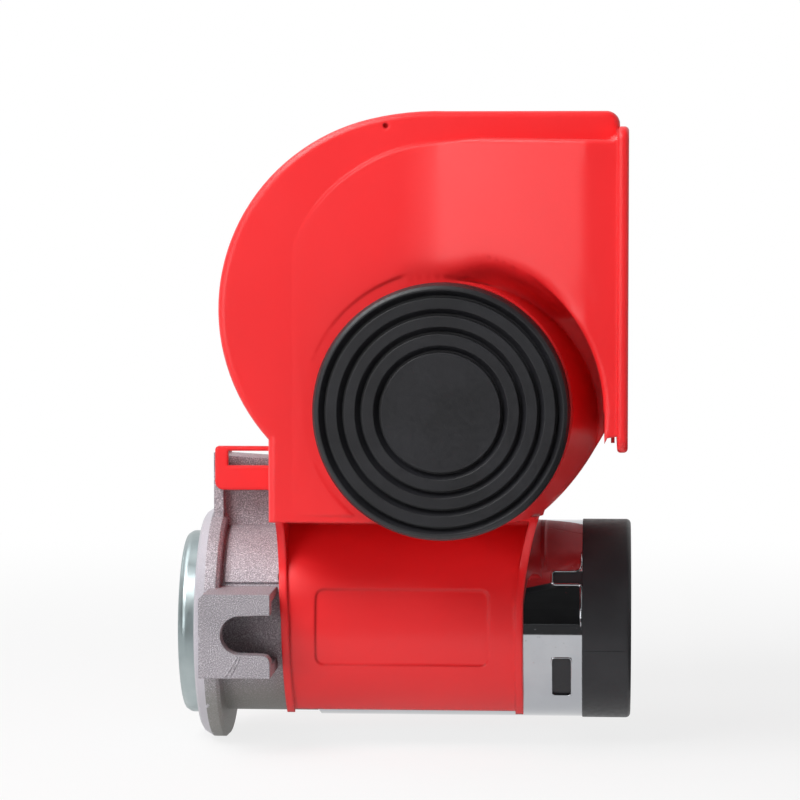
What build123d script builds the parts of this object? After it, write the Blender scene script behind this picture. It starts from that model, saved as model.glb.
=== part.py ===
from build123d import *
import os
from math import cos, hypot, radians, sin

os.makedirs("parts", exist_ok=True)

# Two-tone snail air horn on its own electric vane compressor, in millimetres.
# Frame: origin on the mounting slot's axis at the slot's front face, +X towards the horn's mouths
# and the motor's end cap, -Y out of the mounting face, +Z up.
MID_Y = 34.5  # mid-plane of the horn, which also holds the pump and motor axis

# ---- horn shell, sizes out from the mid-plane and in the X-Z side view ----
WALL = 2.4  # moulded wall
FACE_H = 40.0  # half width of the horn over its flat face
BULGE_H = 46.0  # half width at the mouth, where the duct has flared
LEFT_X = 6.7  # upright left wall
FLOOR_Z = 24.5  # underside of the horn over the saddle
ROOF_Z = 109.7  # flat roof
MOUTH_X = 79.4  # plane of the mouths
LIP_X = 81.2  # front of the lip round the mouths
LIP_H = 47.0
LIP_BOTTOM_Z = 39.7
LIP_TOP_Z = 106.4
MOUTH_BOTTOM_Z = 43.6
MOUTH_TOP_Z = 103.4
EDGE_R = 1.4  # rounding of the moulded outer edges
PARTITION_T = 2.0
RIB_T = 1.8  # inner walls of the snail
GALLERY_Z = 31.7  # rib over the air gallery

# ---- diaphragm chamber ----
DISC_X = 43.0
DISC_Z = 48.1
CAP_R = 26.4
CAP_TOP_H = 49.0
CAP_BASE_H = 40.1
GROOVE_RADII = (13.0, 16.8, 20.5, 24.2)
GROOVE_W = 1.5
GROOVE_D = 1.6
BOSS_R = 24.5
CLAMP_R = 22.5  # seat of diaphragm and seal
CHAMBER_R = 20.6
CHAMBER_FLOOR_H = 31.5
SEAT_H = 39.5
DIAPHRAGM_T = 0.4
SEAL_T = 1.6
THROAT_R = 4.0
THROAT_OUTER_R = 6.0
VALLEY_R_IN = 26.9  # top of the chamber's wall, which leans out from under the cap
VALLEY_R_OUT = 33.2
VALLEY_LEAN = 0.224  # radius that the wall gains for each millimetre down
VALLEY_SLOPE = 0.6  # fall of the valley's floor towards the lower front corner
VALLEY_X1 = 76.4  # back of the mouths' bell
BELL_WALL = 2.2

# ---- saddle, clip arm and label recess ----
SADDLE_R_IN = 21.7
SADDLE_R_OUT = 24.0
SADDLE_RIM_R = 24.8
SADDLE_X0 = 7.8
SADDLE_X1 = 59.3
SADDLE_END_ANGLE = 50.0  # the arm ends this far below the horizontal
RIM_W = 1.7
LABEL_X0 = 15.0
LABEL_X1 = 52.0
LABEL_Z0 = -7.7
LABEL_Z1 = 8.5
LABEL_D = 0.45
ARM_H = 8.5  # inner face of the clip arm, out from the mid-plane
ARM_T = 1.5
ARM_X0 = -7.9
ARM_Z0 = 28.6
ARM_Z1 = 38.1

# ---- pump ----
FLANGE_X0 = -11.1
FLANGE_X1 = -5.7
FLANGE_R = 25.3
FLANGE_FACE_R = 23.4  # inside the chamfer round the flange's open end
BARREL_R = 20.7
BARREL_X1 = 14.0
PAD_X0 = -4.9
PAD_R = 21.3
CHAMBER_Z = -1.35  # chamber, flange and cover are centred this far off the shaft
CHAMBER_BORE_R = 13.0
CHAMBER_END_X = 2.4
INTAKE_X = 8.6
INTAKE_Z = 10.7
INTAKE_R = 2.0
COVER_R = 20.0
COVER_X0 = -15.05
COVER_RIM_R = 18.2  # inside of the rolled rim
COVER_T = 1.0
SCREW_R = 1.5
SCREW_CIRCLE_R = 15.6
SCREW_FIRST_ANGLE = 30
SCREW_COUNT = 3
SCREW_TIP_X = 19.0
SCREW_HEAD_R = 2.3
SCREW_HEAD_T = 1.8

# ---- mounting block with the slot for an M8 bolt ----
SLOT_R = 4.1
BLOCK_X0 = -8.7
BLOCK_X1 = 6.4
BLOCK_Z0 = -9.1
BLOCK_Z1 = 8.65
BLOCK_PLATE_T = 4.0
POCKET_X0 = -6.8
POCKET_Z = 6.8

# ---- outlet column and its plate ----
COLUMN_HALF = 5.0
COLUMN_X0 = -6.3
COLUMN_X1 = 5.7
COLUMN_TOP_Z = 35.7
PLATE_X0 = -8.4
PLATE_HALF = 8.2
PLATE_TOP_Z = 36.5
OUTLET_Z = 28.9
OUTLET_H = 2.6
OUTLET_R = 1.5

# ---- motor ----
CAN_R = 21.5
CAN_WALL = 1.6
CAN_X1 = 71.9
CAP_X1 = 82.3
SHAFT_R = 2.5
SHAFT_X0 = FLANGE_X0 + 0.4
SHAFT_X1 = 78.0
ROTOR_R = 11.6
ROTOR_X0 = FLANGE_X0 + 0.25
ROTOR_X1 = CHAMBER_END_X - 0.25
VANE_COUNT = 4
ARMATURE_R = 15.8
ARMATURE_SLOTS = 8
ARMATURE_X0 = 26.0
ARMATURE_X1 = 54.0
COMMUTATOR_R = 7.5
COMMUTATOR_X0 = 60.5
COMMUTATOR_X1 = 69.4
MAGNET_R_IN = 16.4
MAGNET_ANGLE = 130
BRUSH_X = 65.0
NOTCH_ANGLE = 30.5  # up from the horizontal, front side
WINDOW_ANGLE = -30.0


def side_plane(height):
    """Plane parallel to the mid-plane, `height` nearer to the mounting side and facing it."""
    return Plane.XZ.offset(height - MID_Y)


def axis_plane(x):
    """Plane square to the pump and motor axis at x, facing the end cap; its own x runs along +Y."""
    return Plane(origin=(x, MID_Y, 0), x_dir=(0, 1, 0), z_dir=(1, 0, 0))


def chamber_plane(x):
    """Plane square to the axis at x like axis_plane, with its origin on the pump chamber's centre."""
    return Plane(origin=(x, MID_Y, CHAMBER_Z), x_dir=(0, 1, 0), z_dir=(1, 0, 0))


MID_PLANE = side_plane(0)
PUMP_AXIS = Axis((0, MID_Y, 0), (1, 0, 0))
CHAMBER_AXIS = Axis((0, MID_Y, CHAMBER_Z), (1, 0, 0))
# half sections: x along the axis, y the radius
SECTION = Plane(origin=(0, MID_Y, 0), x_dir=(1, 0, 0), z_dir=(0, -1, 0))
CHAMBER_SECTION = Plane(origin=(0, MID_Y, CHAMBER_Z), x_dir=(1, 0, 0), z_dir=(0, -1, 0))
DISC_AXIS = Axis((DISC_X, MID_Y, DISC_Z), (0, -1, 0))
# half section through the diaphragm chamber: x is the radius, y the height from the mid-plane
DISC_SECTION = Plane(origin=(DISC_X, MID_Y, DISC_Z), x_dir=(1, 0, 0), z_dir=(0, 0, -1))
# top view at the height of the floor: x along the horn, y the height from the mid-plane
TOP_VIEW = Plane(origin=(0, MID_Y, 0), x_dir=(1, 0, 0), z_dir=(0, 0, -1))


def save(builder, name):
    """Label a finished piece with its name and write its STEP file."""
    builder.part.label = name
    export_step(builder.part, f"parts/{name}.step")


# ======================= outline of the horn in the side view =======================
with BuildSketch() as horn_outline:
    with BuildLine():
        back = ThreePointArc((LEFT_X, 41.7), (-3.7, 68.7), (8.7, 97.7))
        shoulder = TangentArc(back @ 1, (27.8, 108.1), tangent=back % 1)
        crest = TangentArc(shoulder @ 1, (44.0, ROOF_Z), tangent=shoulder % 1)
        Polyline(crest @ 1, (MOUTH_X, ROOF_Z), (MOUTH_X, 43.2), (77.0, 42.8))
        belly = ThreePointArc((77.0, 42.8), (71.2, 33.5), (63.9, 25.9))
        Polyline(belly @ 1, (63.5, FLOOR_Z), (LEFT_X, FLOOR_Z), back @ 0)
    make_face()
    roof_corner = horn_outline.vertices().sort_by(Axis((0, 0, 0), (1, 1, 0)))[-1]
    fillet(roof_corner, radius=2.8)
OUTLINE = horn_outline.sketch_local


def flare_edges():
    """Raised edges of the flare in work that run along its ledge or round the diaphragm cap."""
    raised = edges().filter_by(lambda e: MID_Y - e.center().Y > FACE_H + 2)
    along = raised.filter_by(lambda e: e.center().X < MOUTH_X - 0.1)
    ledge = along.filter_by(lambda e: e.center().Z > 102.5)
    ledge = ledge.filter_by(Axis.Z, reverse=True).filter_by(Axis.Y, reverse=True)
    ring = along.filter_by(lambda e: hypot(e.center().X - DISC_X, e.center().Z - DISC_Z) < 36)
    return ledge + ring


# ======================= flare of the duct towards the mouth =======================
def duct_flare(inset):
    """The part of the duct that stands out over the flat face, or with an inset the hollow inside it."""
    with BuildPart() as flare:
        with BuildSketch(side_plane(FACE_H - 5)):
            with BuildLine():
                rise = ThreePointArc((12.0, 82.0), (24.0, 97.0), (41.0, 103.1))
                ridge = TangentArc(rise @ 1, (51.0, 104.2), tangent=rise % 1)
                top = Line(ridge @ 1, (76.4, 103.7))
                turn = TangentArc(top @ 1, (MOUTH_X, 105.7), tangent=top % 1)
                Polyline(turn @ 1, (MOUTH_X, 43.2), (77.0, 42.8))
                belly_side = ThreePointArc((77.0, 42.8), (71.2, 33.5), (63.9, 25.9))
                Polyline(belly_side @ 1, (12.0, 26.0), rise @ 0)
            make_face()
            if inset:
                offset(amount=-inset, kind=Kind.INTERSECTION, mode=Mode.REPLACE)
        extrude(amount=BULGE_H - FACE_H + 6)
        # slanted plateau, seen from above: flush at the left, full height at the mouth
        with BuildSketch(TOP_VIEW):
            with BuildLine():
                start = Polyline(
                    (-8.0, FACE_H - inset - 0.001),
                    (11.0, FACE_H - inset - 0.001),
                    (34.0, FACE_H - inset + 0.5),
                )
                swell = TangentArc(start @ 1, (42.0, FACE_H + 1.1 - inset), tangent=start % 1)
                ramp = Line(swell @ 1, (72.5, BULGE_H - inset))
                collar = Line(ramp @ 1, (MOUTH_X + 1, BULGE_H - inset))
                Polyline(collar @ 1, (MOUTH_X + 1, FACE_H - 6), (-8.0, FACE_H - 6), start @ 0)
            make_face()
            fillet(vertices().filter_by_position(Axis.X, 72, 73), radius=6)
        extrude(amount=-120, mode=Mode.INTERSECT)
        # conical clearance round the diaphragm cap
        with BuildSketch(DISC_SECTION):
            with BuildLine():
                Polyline(
                    (0, FACE_H - inset),
                    (28.6 + inset, FACE_H - inset),
                    (35.6 + inset, FACE_H - inset + 8),
                    (0, FACE_H - inset + 8),
                    close=True,
                )
            make_face()
        revolve(axis=DISC_AXIS, mode=Mode.SUBTRACT)
        if not inset:
            fillet(flare_edges().filter_by(lambda e: e.center().Z > 102.5), radius=1.0)
            fillet(flare_edges().filter_by(lambda e: 45 < e.center().Z < 80), radius=1.0)
    return flare


flare_skin = duct_flare(0)
flare_hollow = duct_flare(WALL)

# ======================= valley between the diaphragm chamber and the bell =======================
# falls towards the lower front corner: x along the fall, y towards the far side
FALL = radians(64.5)
VALLEY_PLANE = Plane(
    origin=(54, MID_Y, 79),
    x_dir=(cos(FALL), 0, -sin(FALL)),
    z_dir=(sin(FALL), 0, cos(FALL)),
)


def valley(grow):
    """Room cut out beside the chamber's wall, or with `grow` that room and the shell's wall round it."""
    top = FACE_H + 8
    with BuildPart() as room:
        with BuildSketch(DISC_SECTION):
            with BuildLine():
                Polyline(
                    (VALLEY_R_IN - grow, top),
                    (VALLEY_R_IN - grow, FACE_H),
                    (VALLEY_R_IN - grow + VALLEY_LEAN * FACE_H, 0),
                    (42.0, 0),
                    (42.0, top),
                    close=True,
                )
            make_face()
        revolve(axis=DISC_AXIS)
        with BuildSketch(VALLEY_PLANE):
            with BuildLine():
                Polyline(
                    (-12.0, grow - FACE_H - 12 * VALLEY_SLOPE),
                    (62.0, grow - FACE_H + 62 * VALLEY_SLOPE),
                    (62.0, -60.0),
                    (-12.0, -60.0),
                    close=True,
                )
            make_face()
        extrude(amount=80, both=True, mode=Mode.INTERSECT)
        # seen from the side: round to the bell, and open below it
        with BuildSketch(MID_PLANE):
            with Locations((DISC_X, DISC_Z)):
                Circle(VALLEY_R_OUT + grow)
            bell_x = VALLEY_X1 + min(grow, BELL_WALL)
            with Locations((bell_x, DISC_Z)):
                Rectangle(22, 40, align=(Align.MAX, Align.MAX))
            with Locations((bell_x, 0)):
                Rectangle(
                    bell_x - DISC_X + grow,
                    240,
                    align=(Align.MAX, Align.CENTER),
                    mode=Mode.INTERSECT,
                )
        extrude(amount=top, mode=Mode.INTERSECT)
    return room


valley_room = valley(0)
valley_keep = valley(WALL)


# ======================= saddle over the motor, one half =======================
def saddle_sector(r_in, r_out):
    """Half tube over the motor, from the top down the mounting side to the saddle's end angle."""
    sweep_angle = 90 + SADDLE_END_ANGLE
    with BuildPart() as sector:
        with BuildSketch(axis_plane(LEFT_X - 1)):
            with BuildLine():
                outer = CenterArc((0, 0), r_out, 90, sweep_angle)
                inner = CenterArc((0, 0), r_in, 90, sweep_angle)
                Line(outer @ 0, inner @ 0)
                Line(outer @ 1, inner @ 1)
            make_face()
        extrude(amount=MOUTH_X - LEFT_X)
    return sector


# side view of the saddle: upright sides that flare out under the horn
with BuildSketch() as saddle_view:
    with BuildLine():
        left_side = ThreePointArc((LEFT_X, FLOOR_Z + 1), (7.0, 13.5), (SADDLE_X0, 2.0))
        right_side = ThreePointArc((63.0, FLOOR_Z + 1), (60.5, 15.0), (SADDLE_X1, 6.0))
        Polyline(left_side @ 1, (SADDLE_X0 + 0.7, -26), (SADDLE_X1, -26), right_side @ 1)
        Line(left_side @ 0, right_side @ 0)
    make_face()
with BuildSketch() as saddle_field:
    add(saddle_view.sketch_local)
    offset(amount=-RIM_W, kind=Kind.INTERSECTION, mode=Mode.REPLACE)

saddle_tube = saddle_sector(SADDLE_R_IN, SADDLE_R_OUT)
saddle_rim = saddle_sector(SADDLE_R_OUT - 0.2, SADDLE_RIM_R)
label_band = saddle_sector(SADDLE_R_OUT - LABEL_D, SADDLE_RIM_R + 1)

with BuildPart() as saddle_ribs:
    add(saddle_rim.part)
    # the rims sweep forward under the horn's floor
    with BuildSketch(axis_plane(LEFT_X - 1)):
        with BuildLine():
            sweep_out = ThreePointArc((-21.5, 12.2), (-22.4, 19.2), (-30.0, FLOOR_Z + 0.5))
            Polyline(sweep_out @ 1, (-8.0, FLOOR_Z + 0.5), (-8.0, 23.0), sweep_out @ 0)
        make_face()
    extrude(amount=MOUTH_X - LEFT_X)
    with BuildSketch(MID_PLANE):
        add(saddle_field.sketch_local)
    extrude(amount=FACE_H, mode=Mode.SUBTRACT)
with BuildPart() as saddle:
    # web up into the horn's floor
    with BuildSketch(side_plane(0)):
        with Locations(((LEFT_X + 64) / 2, FLOOR_Z + 1)):
            Rectangle(64 - LEFT_X, 5, align=(Align.CENTER, Align.MAX))
    extrude(amount=11)
    add(saddle_tube.part)
    add(saddle_ribs.part)
    with BuildSketch(MID_PLANE):
        add(saddle_view.sketch_local)
    extrude(amount=FACE_H, mode=Mode.INTERSECT)
with BuildPart() as label_recess:
    add(label_band.part)
    with BuildSketch(MID_PLANE):
        with Locations(((LABEL_X0 + LABEL_X1) / 2, (LABEL_Z0 + LABEL_Z1) / 2)):
            RectangleRounded(LABEL_X1 - LABEL_X0, LABEL_Z1 - LABEL_Z0, 1.8)
    extrude(amount=FACE_H, mode=Mode.INTERSECT)

# lip round the mouth
with BuildPart() as lip:
    with BuildSketch(axis_plane(MOUTH_X - 0.4)):
        with Locations((-LIP_H / 2, (LIP_BOTTOM_Z + LIP_TOP_Z) / 2)):
            Rectangle(LIP_H, LIP_TOP_Z - LIP_BOTTOM_Z)
        fillet(vertices().group_by(Axis.X)[0], radius=3.0)
    extrude(amount=LIP_X - MOUTH_X + 0.4)
    front_rim = faces().sort_by(Axis.X)[-1].edges()
    back_rim = faces().sort_by(Axis.X)[0].edges()
    fillet(front_rim.filter_by(lambda e: e.center().Y < MID_Y - 1), radius=0.9)
    fillet(back_rim.filter_by(lambda e: e.center().Y < MID_Y - 1), radius=0.7)

# hollow of the horn with the mouth, clear of the walls round the valley
with BuildPart() as horn_hollow:
    with BuildSketch(MID_PLANE):
        add(OUTLINE)
        offset(amount=-WALL, kind=Kind.INTERSECTION, mode=Mode.REPLACE)
    extrude(amount=FACE_H - WALL)
    add(flare_hollow.part)
    with BuildSketch(axis_plane(MOUTH_X - 4)):
        with Locations((0, (MOUTH_BOTTOM_Z + MOUTH_TOP_Z) / 2)):
            Rectangle(
                BULGE_H - WALL,
                MOUTH_TOP_Z - MOUTH_BOTTOM_Z,
                align=(Align.MAX, Align.CENTER),
            )
        fillet(vertices().group_by(Axis.X)[0], radius=2.5)
    extrude(amount=10)
    add(valley_keep.part, mode=Mode.SUBTRACT)

# ======================= half of the horn, one moulding =======================
with BuildPart() as horn_half:
    with BuildSketch(MID_PLANE):
        add(OUTLINE)
    extrude(amount=FACE_H)
    face_edges = faces().sort_by(Axis.Y)[0].edges().filter_by(lambda e: e.length > 3)
    face_edges = face_edges.filter_by_position(Axis.X, -10, MOUTH_X - 0.1)
    fillet(face_edges.filter_by_position(Axis.Z, FLOOR_Z + 1, ROOF_Z + 1), radius=EDGE_R)
    add(flare_skin.part)
    add(lip.part)
    add(valley_room.part, mode=Mode.SUBTRACT)
    add(horn_hollow.part, mode=Mode.SUBTRACT)
    # wall of the snail: curls up from the gallery's rib round the throat
    with BuildSketch(side_plane(PARTITION_T / 2)):
        with BuildLine():
            rise = ThreePointArc((53.0, GALLERY_Z - 1), (55.3, 46.5), (43.5, 60.4))
            curl = TangentArc(rise @ 1, (31.5, 49.5), tangent=rise % 1)
            TangentArc(curl @ 1, (35.0, 39.5), tangent=curl % 1)
        trace(line_width=RIB_T)
        with BuildLine():
            gallery = Polyline(
                (LEFT_X + 1, GALLERY_Z),
                (54.0, GALLERY_Z),
                (56.5, GALLERY_Z - 2.5),
                (56.5, FLOOR_Z + 1),
            )
        trace(gallery, line_width=RIB_T)
    extrude(amount=FACE_H - PARTITION_T / 2 - 1)
    # cup of the diaphragm chamber, its annular chamber, seat and throat
    with BuildSketch(DISC_SECTION):
        with BuildLine():
            Polyline(
                (0, CHAMBER_FLOOR_H - 2),
                (BOSS_R, CHAMBER_FLOOR_H - 2),
                (BOSS_R, SEAT_H + DIAPHRAGM_T + SEAL_T),
                (0, SEAT_H + DIAPHRAGM_T + SEAL_T),
                close=True,
            )
        make_face()
    revolve(axis=DISC_AXIS)
    with BuildSketch(DISC_SECTION):
        with BuildLine():
            Polyline(
                (THROAT_OUTER_R, CHAMBER_FLOOR_H),
                (CHAMBER_R, CHAMBER_FLOOR_H),
                (CHAMBER_R, SEAT_H),
                (CLAMP_R, SEAT_H),
                (CLAMP_R, CAP_TOP_H),
                (0, CAP_TOP_H),
                (0, CHAMBER_FLOOR_H - 3),
                (THROAT_R + 0.6, CHAMBER_FLOOR_H - 3),
                (THROAT_R, SEAT_H - 0.1),
                (THROAT_OUTER_R - 0.6, SEAT_H - 0.1),
                close=True,
            )
        make_face()
    revolve(axis=DISC_AXIS, mode=Mode.SUBTRACT)
    # air gallery up into the annular chamber, and the port from the pump's outlet column
    with BuildSketch(side_plane(CHAMBER_FLOOR_H - 3)):
        with Locations((DISC_X, GALLERY_Z - 2.4)):
            Rectangle(6, 2.6)
    extrude(amount=4, mode=Mode.SUBTRACT)
    with BuildSketch(axis_plane(LEFT_X - 1)):
        with Locations((-OUTLET_H, OUTLET_Z)):
            Circle(OUTLET_R)
    extrude(amount=WALL + 2, mode=Mode.SUBTRACT)
    # saddle with its raised rims and label recess
    add(saddle.part)
    add(label_recess.part, mode=Mode.SUBTRACT)
    with BuildSketch(axis_plane(LEFT_X - 1)):
        Circle(SADDLE_R_IN)
    extrude(amount=MOUTH_X - LEFT_X, mode=Mode.SUBTRACT)
    # half notch for the partition's locating tooth, and the moulding dimple by the roof
    with BuildSketch(MID_PLANE):
        with Locations((78.3, 41.5)):
            Rectangle(1.0, 8.0)
    extrude(amount=PARTITION_T / 2 + 0.05, mode=Mode.SUBTRACT)
    with BuildSketch(side_plane(FACE_H + 1)):
        with Locations((31.2, 106.7)):
            Circle(0.5)
    extrude(amount=-2.2, mode=Mode.SUBTRACT)

with BuildPart() as horn_shell_rear:
    add(mirror(horn_half.part, about=MID_PLANE))
save(horn_shell_rear, "horn_shell_rear")

# only the mounting side's half has the clip arm over the pump's outlet column
with BuildPart() as horn_shell_front:
    add(horn_half.part)
    with BuildSketch(side_plane(ARM_H)):
        with Locations((LEFT_X + 1, ARM_Z0)):
            Rectangle(LEFT_X + 1 - ARM_X0, ARM_Z1 - ARM_Z0, align=(Align.MAX, Align.MIN))
        fillet(vertices().sort_by(Axis((0, 0, 0), (1, 1, 0)))[0], radius=1.8)
        fillet(vertices().group_by(Axis.X)[0].sort_by(Axis.Y)[-1], radius=0.8)
        with Locations((LEFT_X, ARM_Z1 - 1.0)):
            Rectangle(LEFT_X - ARM_X0 - 2.8, 3.2, align=(Align.MAX, Align.MAX), mode=Mode.SUBTRACT)
    extrude(amount=ARM_T)
save(horn_shell_front, "horn_shell_front")

# ======================= wall between the two horns =======================
with BuildPart() as horn_partition:
    with BuildSketch(side_plane(-PARTITION_T / 2)):
        add(OUTLINE)
        offset(amount=-WALL - 0.1, kind=Kind.INTERSECTION, mode=Mode.REPLACE)
        with Locations((78.3, 41.4)):
            Rectangle(0.8, 5.8)
        with Locations((77.95, (MOUTH_BOTTOM_Z + MOUTH_TOP_Z) / 2)):
            Rectangle(4.8, MOUTH_TOP_Z - MOUTH_BOTTOM_Z - 0.4)
    extrude(amount=PARTITION_T)
save(horn_partition, "horn_partition")

# ======================= diaphragms, their seals and caps =======================
with BuildPart() as diaphragm_front:
    with BuildSketch(side_plane(SEAT_H)):
        with Locations((DISC_X, DISC_Z)):
            Circle(CLAMP_R - 0.2)
    extrude(amount=DIAPHRAGM_T)
save(diaphragm_front, "diaphragm_front")

with BuildPart() as diaphragm_seal_front:
    with BuildSketch(side_plane(SEAT_H + DIAPHRAGM_T)):
        with Locations((DISC_X, DISC_Z)):
            Circle(CLAMP_R - 0.1)
            Circle(CHAMBER_R, mode=Mode.SUBTRACT)
    extrude(amount=SEAL_T)
save(diaphragm_seal_front, "diaphragm_seal_front")

# cap: skirt round the boss, clamping ring inside, concentric grooves outside
with BuildPart() as diaphragm_cap_front:
    with BuildSketch(DISC_SECTION):
        with BuildLine():
            Polyline(
                (0, CAP_TOP_H - 4.5),
                (CHAMBER_R, CAP_TOP_H - 4.5),
                (CHAMBER_R, SEAT_H + DIAPHRAGM_T + SEAL_T),
                (BOSS_R + 0.2, SEAT_H + DIAPHRAGM_T + SEAL_T),
                (BOSS_R + 0.2, CAP_BASE_H),
                (CAP_R, CAP_BASE_H),
                (CAP_R, CAP_TOP_H - 1.6),
                (CAP_R - 0.5, CAP_TOP_H - 0.4),
                (CAP_R - 1.1, CAP_TOP_H),
                (0, CAP_TOP_H),
                close=True,
            )
        make_face()
        for groove_radius in GROOVE_RADII:
            with BuildLine():
                Polyline(
                    (groove_radius - GROOVE_W / 2, CAP_TOP_H + 1),
                    (groove_radius - GROOVE_W / 2, CAP_TOP_H - GROOVE_D),
                    (groove_radius - GROOVE_W / 2 + 0.5, CAP_TOP_H - GROOVE_D),
                    (groove_radius + GROOVE_W / 2, CAP_TOP_H - 0.1),
                    (groove_radius + GROOVE_W / 2, CAP_TOP_H + 1),
                    close=True,
                )
            make_face(mode=Mode.SUBTRACT)
    revolve(axis=DISC_AXIS)
save(diaphragm_cap_front, "diaphragm_cap_front")

for front_piece, rear_name in (
    (diaphragm_front, "diaphragm_rear"),
    (diaphragm_seal_front, "diaphragm_seal_rear"),
    (diaphragm_cap_front, "diaphragm_cap_rear"),
):
    with BuildPart() as rear_piece:
        add(mirror(front_piece.part, about=MID_PLANE))
    save(rear_piece, rear_name)

# ======================= pump =======================
# block with a slotted plate in front and room for the bolt's head behind it, open to one side
with BuildPart() as mounting_block:
    with BuildSketch(side_plane(MID_Y)):
        with BuildLine():
            Polyline(
                (BLOCK_X0, BLOCK_Z0),
                (BLOCK_X0, BLOCK_Z1),
                (BLOCK_X1, BLOCK_Z1),
                (BLOCK_X1, BLOCK_Z0),
                close=True,
            )
        make_face()
        chamfer(vertices().group_by(Axis.X)[0].sort_by(Axis.Y)[-1], length=1.0)
    extrude(amount=-20)
    with BuildSketch(side_plane(MID_Y - BLOCK_PLATE_T)):
        with Locations((POCKET_X0, 0)):
            Rectangle(30, 2 * POCKET_Z, align=(Align.MIN, Align.CENTER))
    extrude(amount=-20, mode=Mode.SUBTRACT)
    with BuildSketch(side_plane(MID_Y + 1)):
        Circle(SLOT_R)
        with BuildLine():
            Polyline((0, SLOT_R), (12, SLOT_R + 0.4), (12, -SLOT_R - 0.4), (0, -SLOT_R), close=True)
        make_face()
    extrude(amount=-BLOCK_PLATE_T - 2, mode=Mode.SUBTRACT)
    jaw_corners = edges().filter_by(Axis.Y).filter_by_position(Axis.X, BLOCK_X1 - 0.1, BLOCK_X1 + 0.1)
    fillet(jaw_corners.filter_by_position(Axis.Z, -SLOT_R - 1, 0), radius=1.6)

with BuildPart() as pump_body:
    # flange with its chamfered open end, and barrel
    with BuildSketch(CHAMBER_SECTION):
        with BuildLine():
            Polyline(
                (FLANGE_X0, 0),
                (FLANGE_X0, FLANGE_FACE_R),
                (FLANGE_X0 + 0.5, FLANGE_FACE_R + 0.8),
                (FLANGE_X0 + 2.3, FLANGE_R),
                (FLANGE_X1 - 0.7, FLANGE_R),
                (FLANGE_X1, FLANGE_R - 0.7),
                (FLANGE_X1, 0),
                close=True,
            )
        make_face()
    revolve(axis=CHAMBER_AXIS)
    with BuildSketch(axis_plane(FLANGE_X1 - 1)):
        Circle(BARREL_R)
    extrude(amount=BARREL_X1 - FLANGE_X1 + 1)
    # raised pad round the barrel, from the bolt block up to the outlet column
    with BuildSketch(axis_plane(PAD_X0)):
        Circle(PAD_R)
        Circle(BARREL_R - 1, mode=Mode.SUBTRACT)
        with BuildLine():
            Polyline((0, 0), (-60 * cos(radians(26.5)), 60 * sin(radians(26.5))), (0, 60), close=True)
        make_face(mode=Mode.INTERSECT)
    extrude(amount=11.0 - PAD_X0)
    # outlet column with its sloping top, and the plate that the clip arm reaches over
    with BuildSketch(side_plane(COLUMN_HALF)):
        with BuildLine():
            Polyline(
                (COLUMN_X0, 15.0),
                (COLUMN_X0, COLUMN_TOP_Z),
                (COLUMN_X1 - 0.8, COLUMN_TOP_Z - 0.7),
                (COLUMN_X1, COLUMN_TOP_Z - 1.5),
                (COLUMN_X1, 15.0),
                close=True,
            )
        make_face()
    extrude(amount=-2 * COLUMN_HALF)
    with BuildSketch(side_plane(PLATE_HALF)):
        with Locations((PLATE_X0, 20.0)):
            Rectangle(COLUMN_X0 - PLATE_X0, PLATE_TOP_Z - 20.0, align=(Align.MIN, Align.MIN))
    extrude(amount=-2 * PLATE_HALF)
    add(mounting_block.part)
    # pump chamber, shaft bore and the seat of the motor's boss
    with BuildSketch(chamber_plane(FLANGE_X0 - 1)):
        Circle(CHAMBER_BORE_R)
    extrude(amount=CHAMBER_END_X - FLANGE_X0 + 1, mode=Mode.SUBTRACT)
    with BuildSketch(axis_plane(0)):
        Circle(4.5)
    extrude(amount=20, mode=Mode.SUBTRACT)
    with BuildSketch(axis_plane(10.4)):
        Circle(6.6)
    extrude(amount=10, mode=Mode.SUBTRACT)
    # screw holes through to the motor
    with BuildSketch(chamber_plane(FLANGE_X0 - 1)):
        with PolarLocations(SCREW_CIRCLE_R, SCREW_COUNT, start_angle=SCREW_FIRST_ANGLE):
            Circle(SCREW_R + 0.15)
    extrude(amount=40, mode=Mode.SUBTRACT)
    # outlet: up the column and out to both horns
    with BuildSketch(Plane.XY.offset(OUTLET_Z + 2)):
        with Locations((-1.0, MID_Y)):
            Circle(1.8)
    extrude(amount=-20, mode=Mode.SUBTRACT)
    with BuildSketch(axis_plane(-1.5)):
        with Locations((OUTLET_H, OUTLET_Z), (-OUTLET_H, OUTLET_Z)):
            Circle(OUTLET_R)
    extrude(amount=12, mode=Mode.SUBTRACT)
    # intake hole beside the saddle, and its way into the pump chamber
    with BuildSketch(side_plane(BARREL_R + 2)):
        with Locations((INTAKE_X, INTAKE_Z)):
            Circle(INTAKE_R)
    extrude(amount=-18, mode=Mode.SUBTRACT)
    with BuildSketch(axis_plane(CHAMBER_END_X - 1)):
        with Locations((-7.0, 8.4)):
            Circle(1.4)
    extrude(amount=7, mode=Mode.SUBTRACT)
save(pump_body, "pump_body")

with BuildPart() as inlet_filter:
    with BuildSketch(side_plane(BARREL_R - 5)):
        with Locations((INTAKE_X, INTAKE_Z)):
            Circle(INTAKE_R - 0.05)
    extrude(amount=-3)
save(inlet_filter, "inlet_filter")

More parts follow.
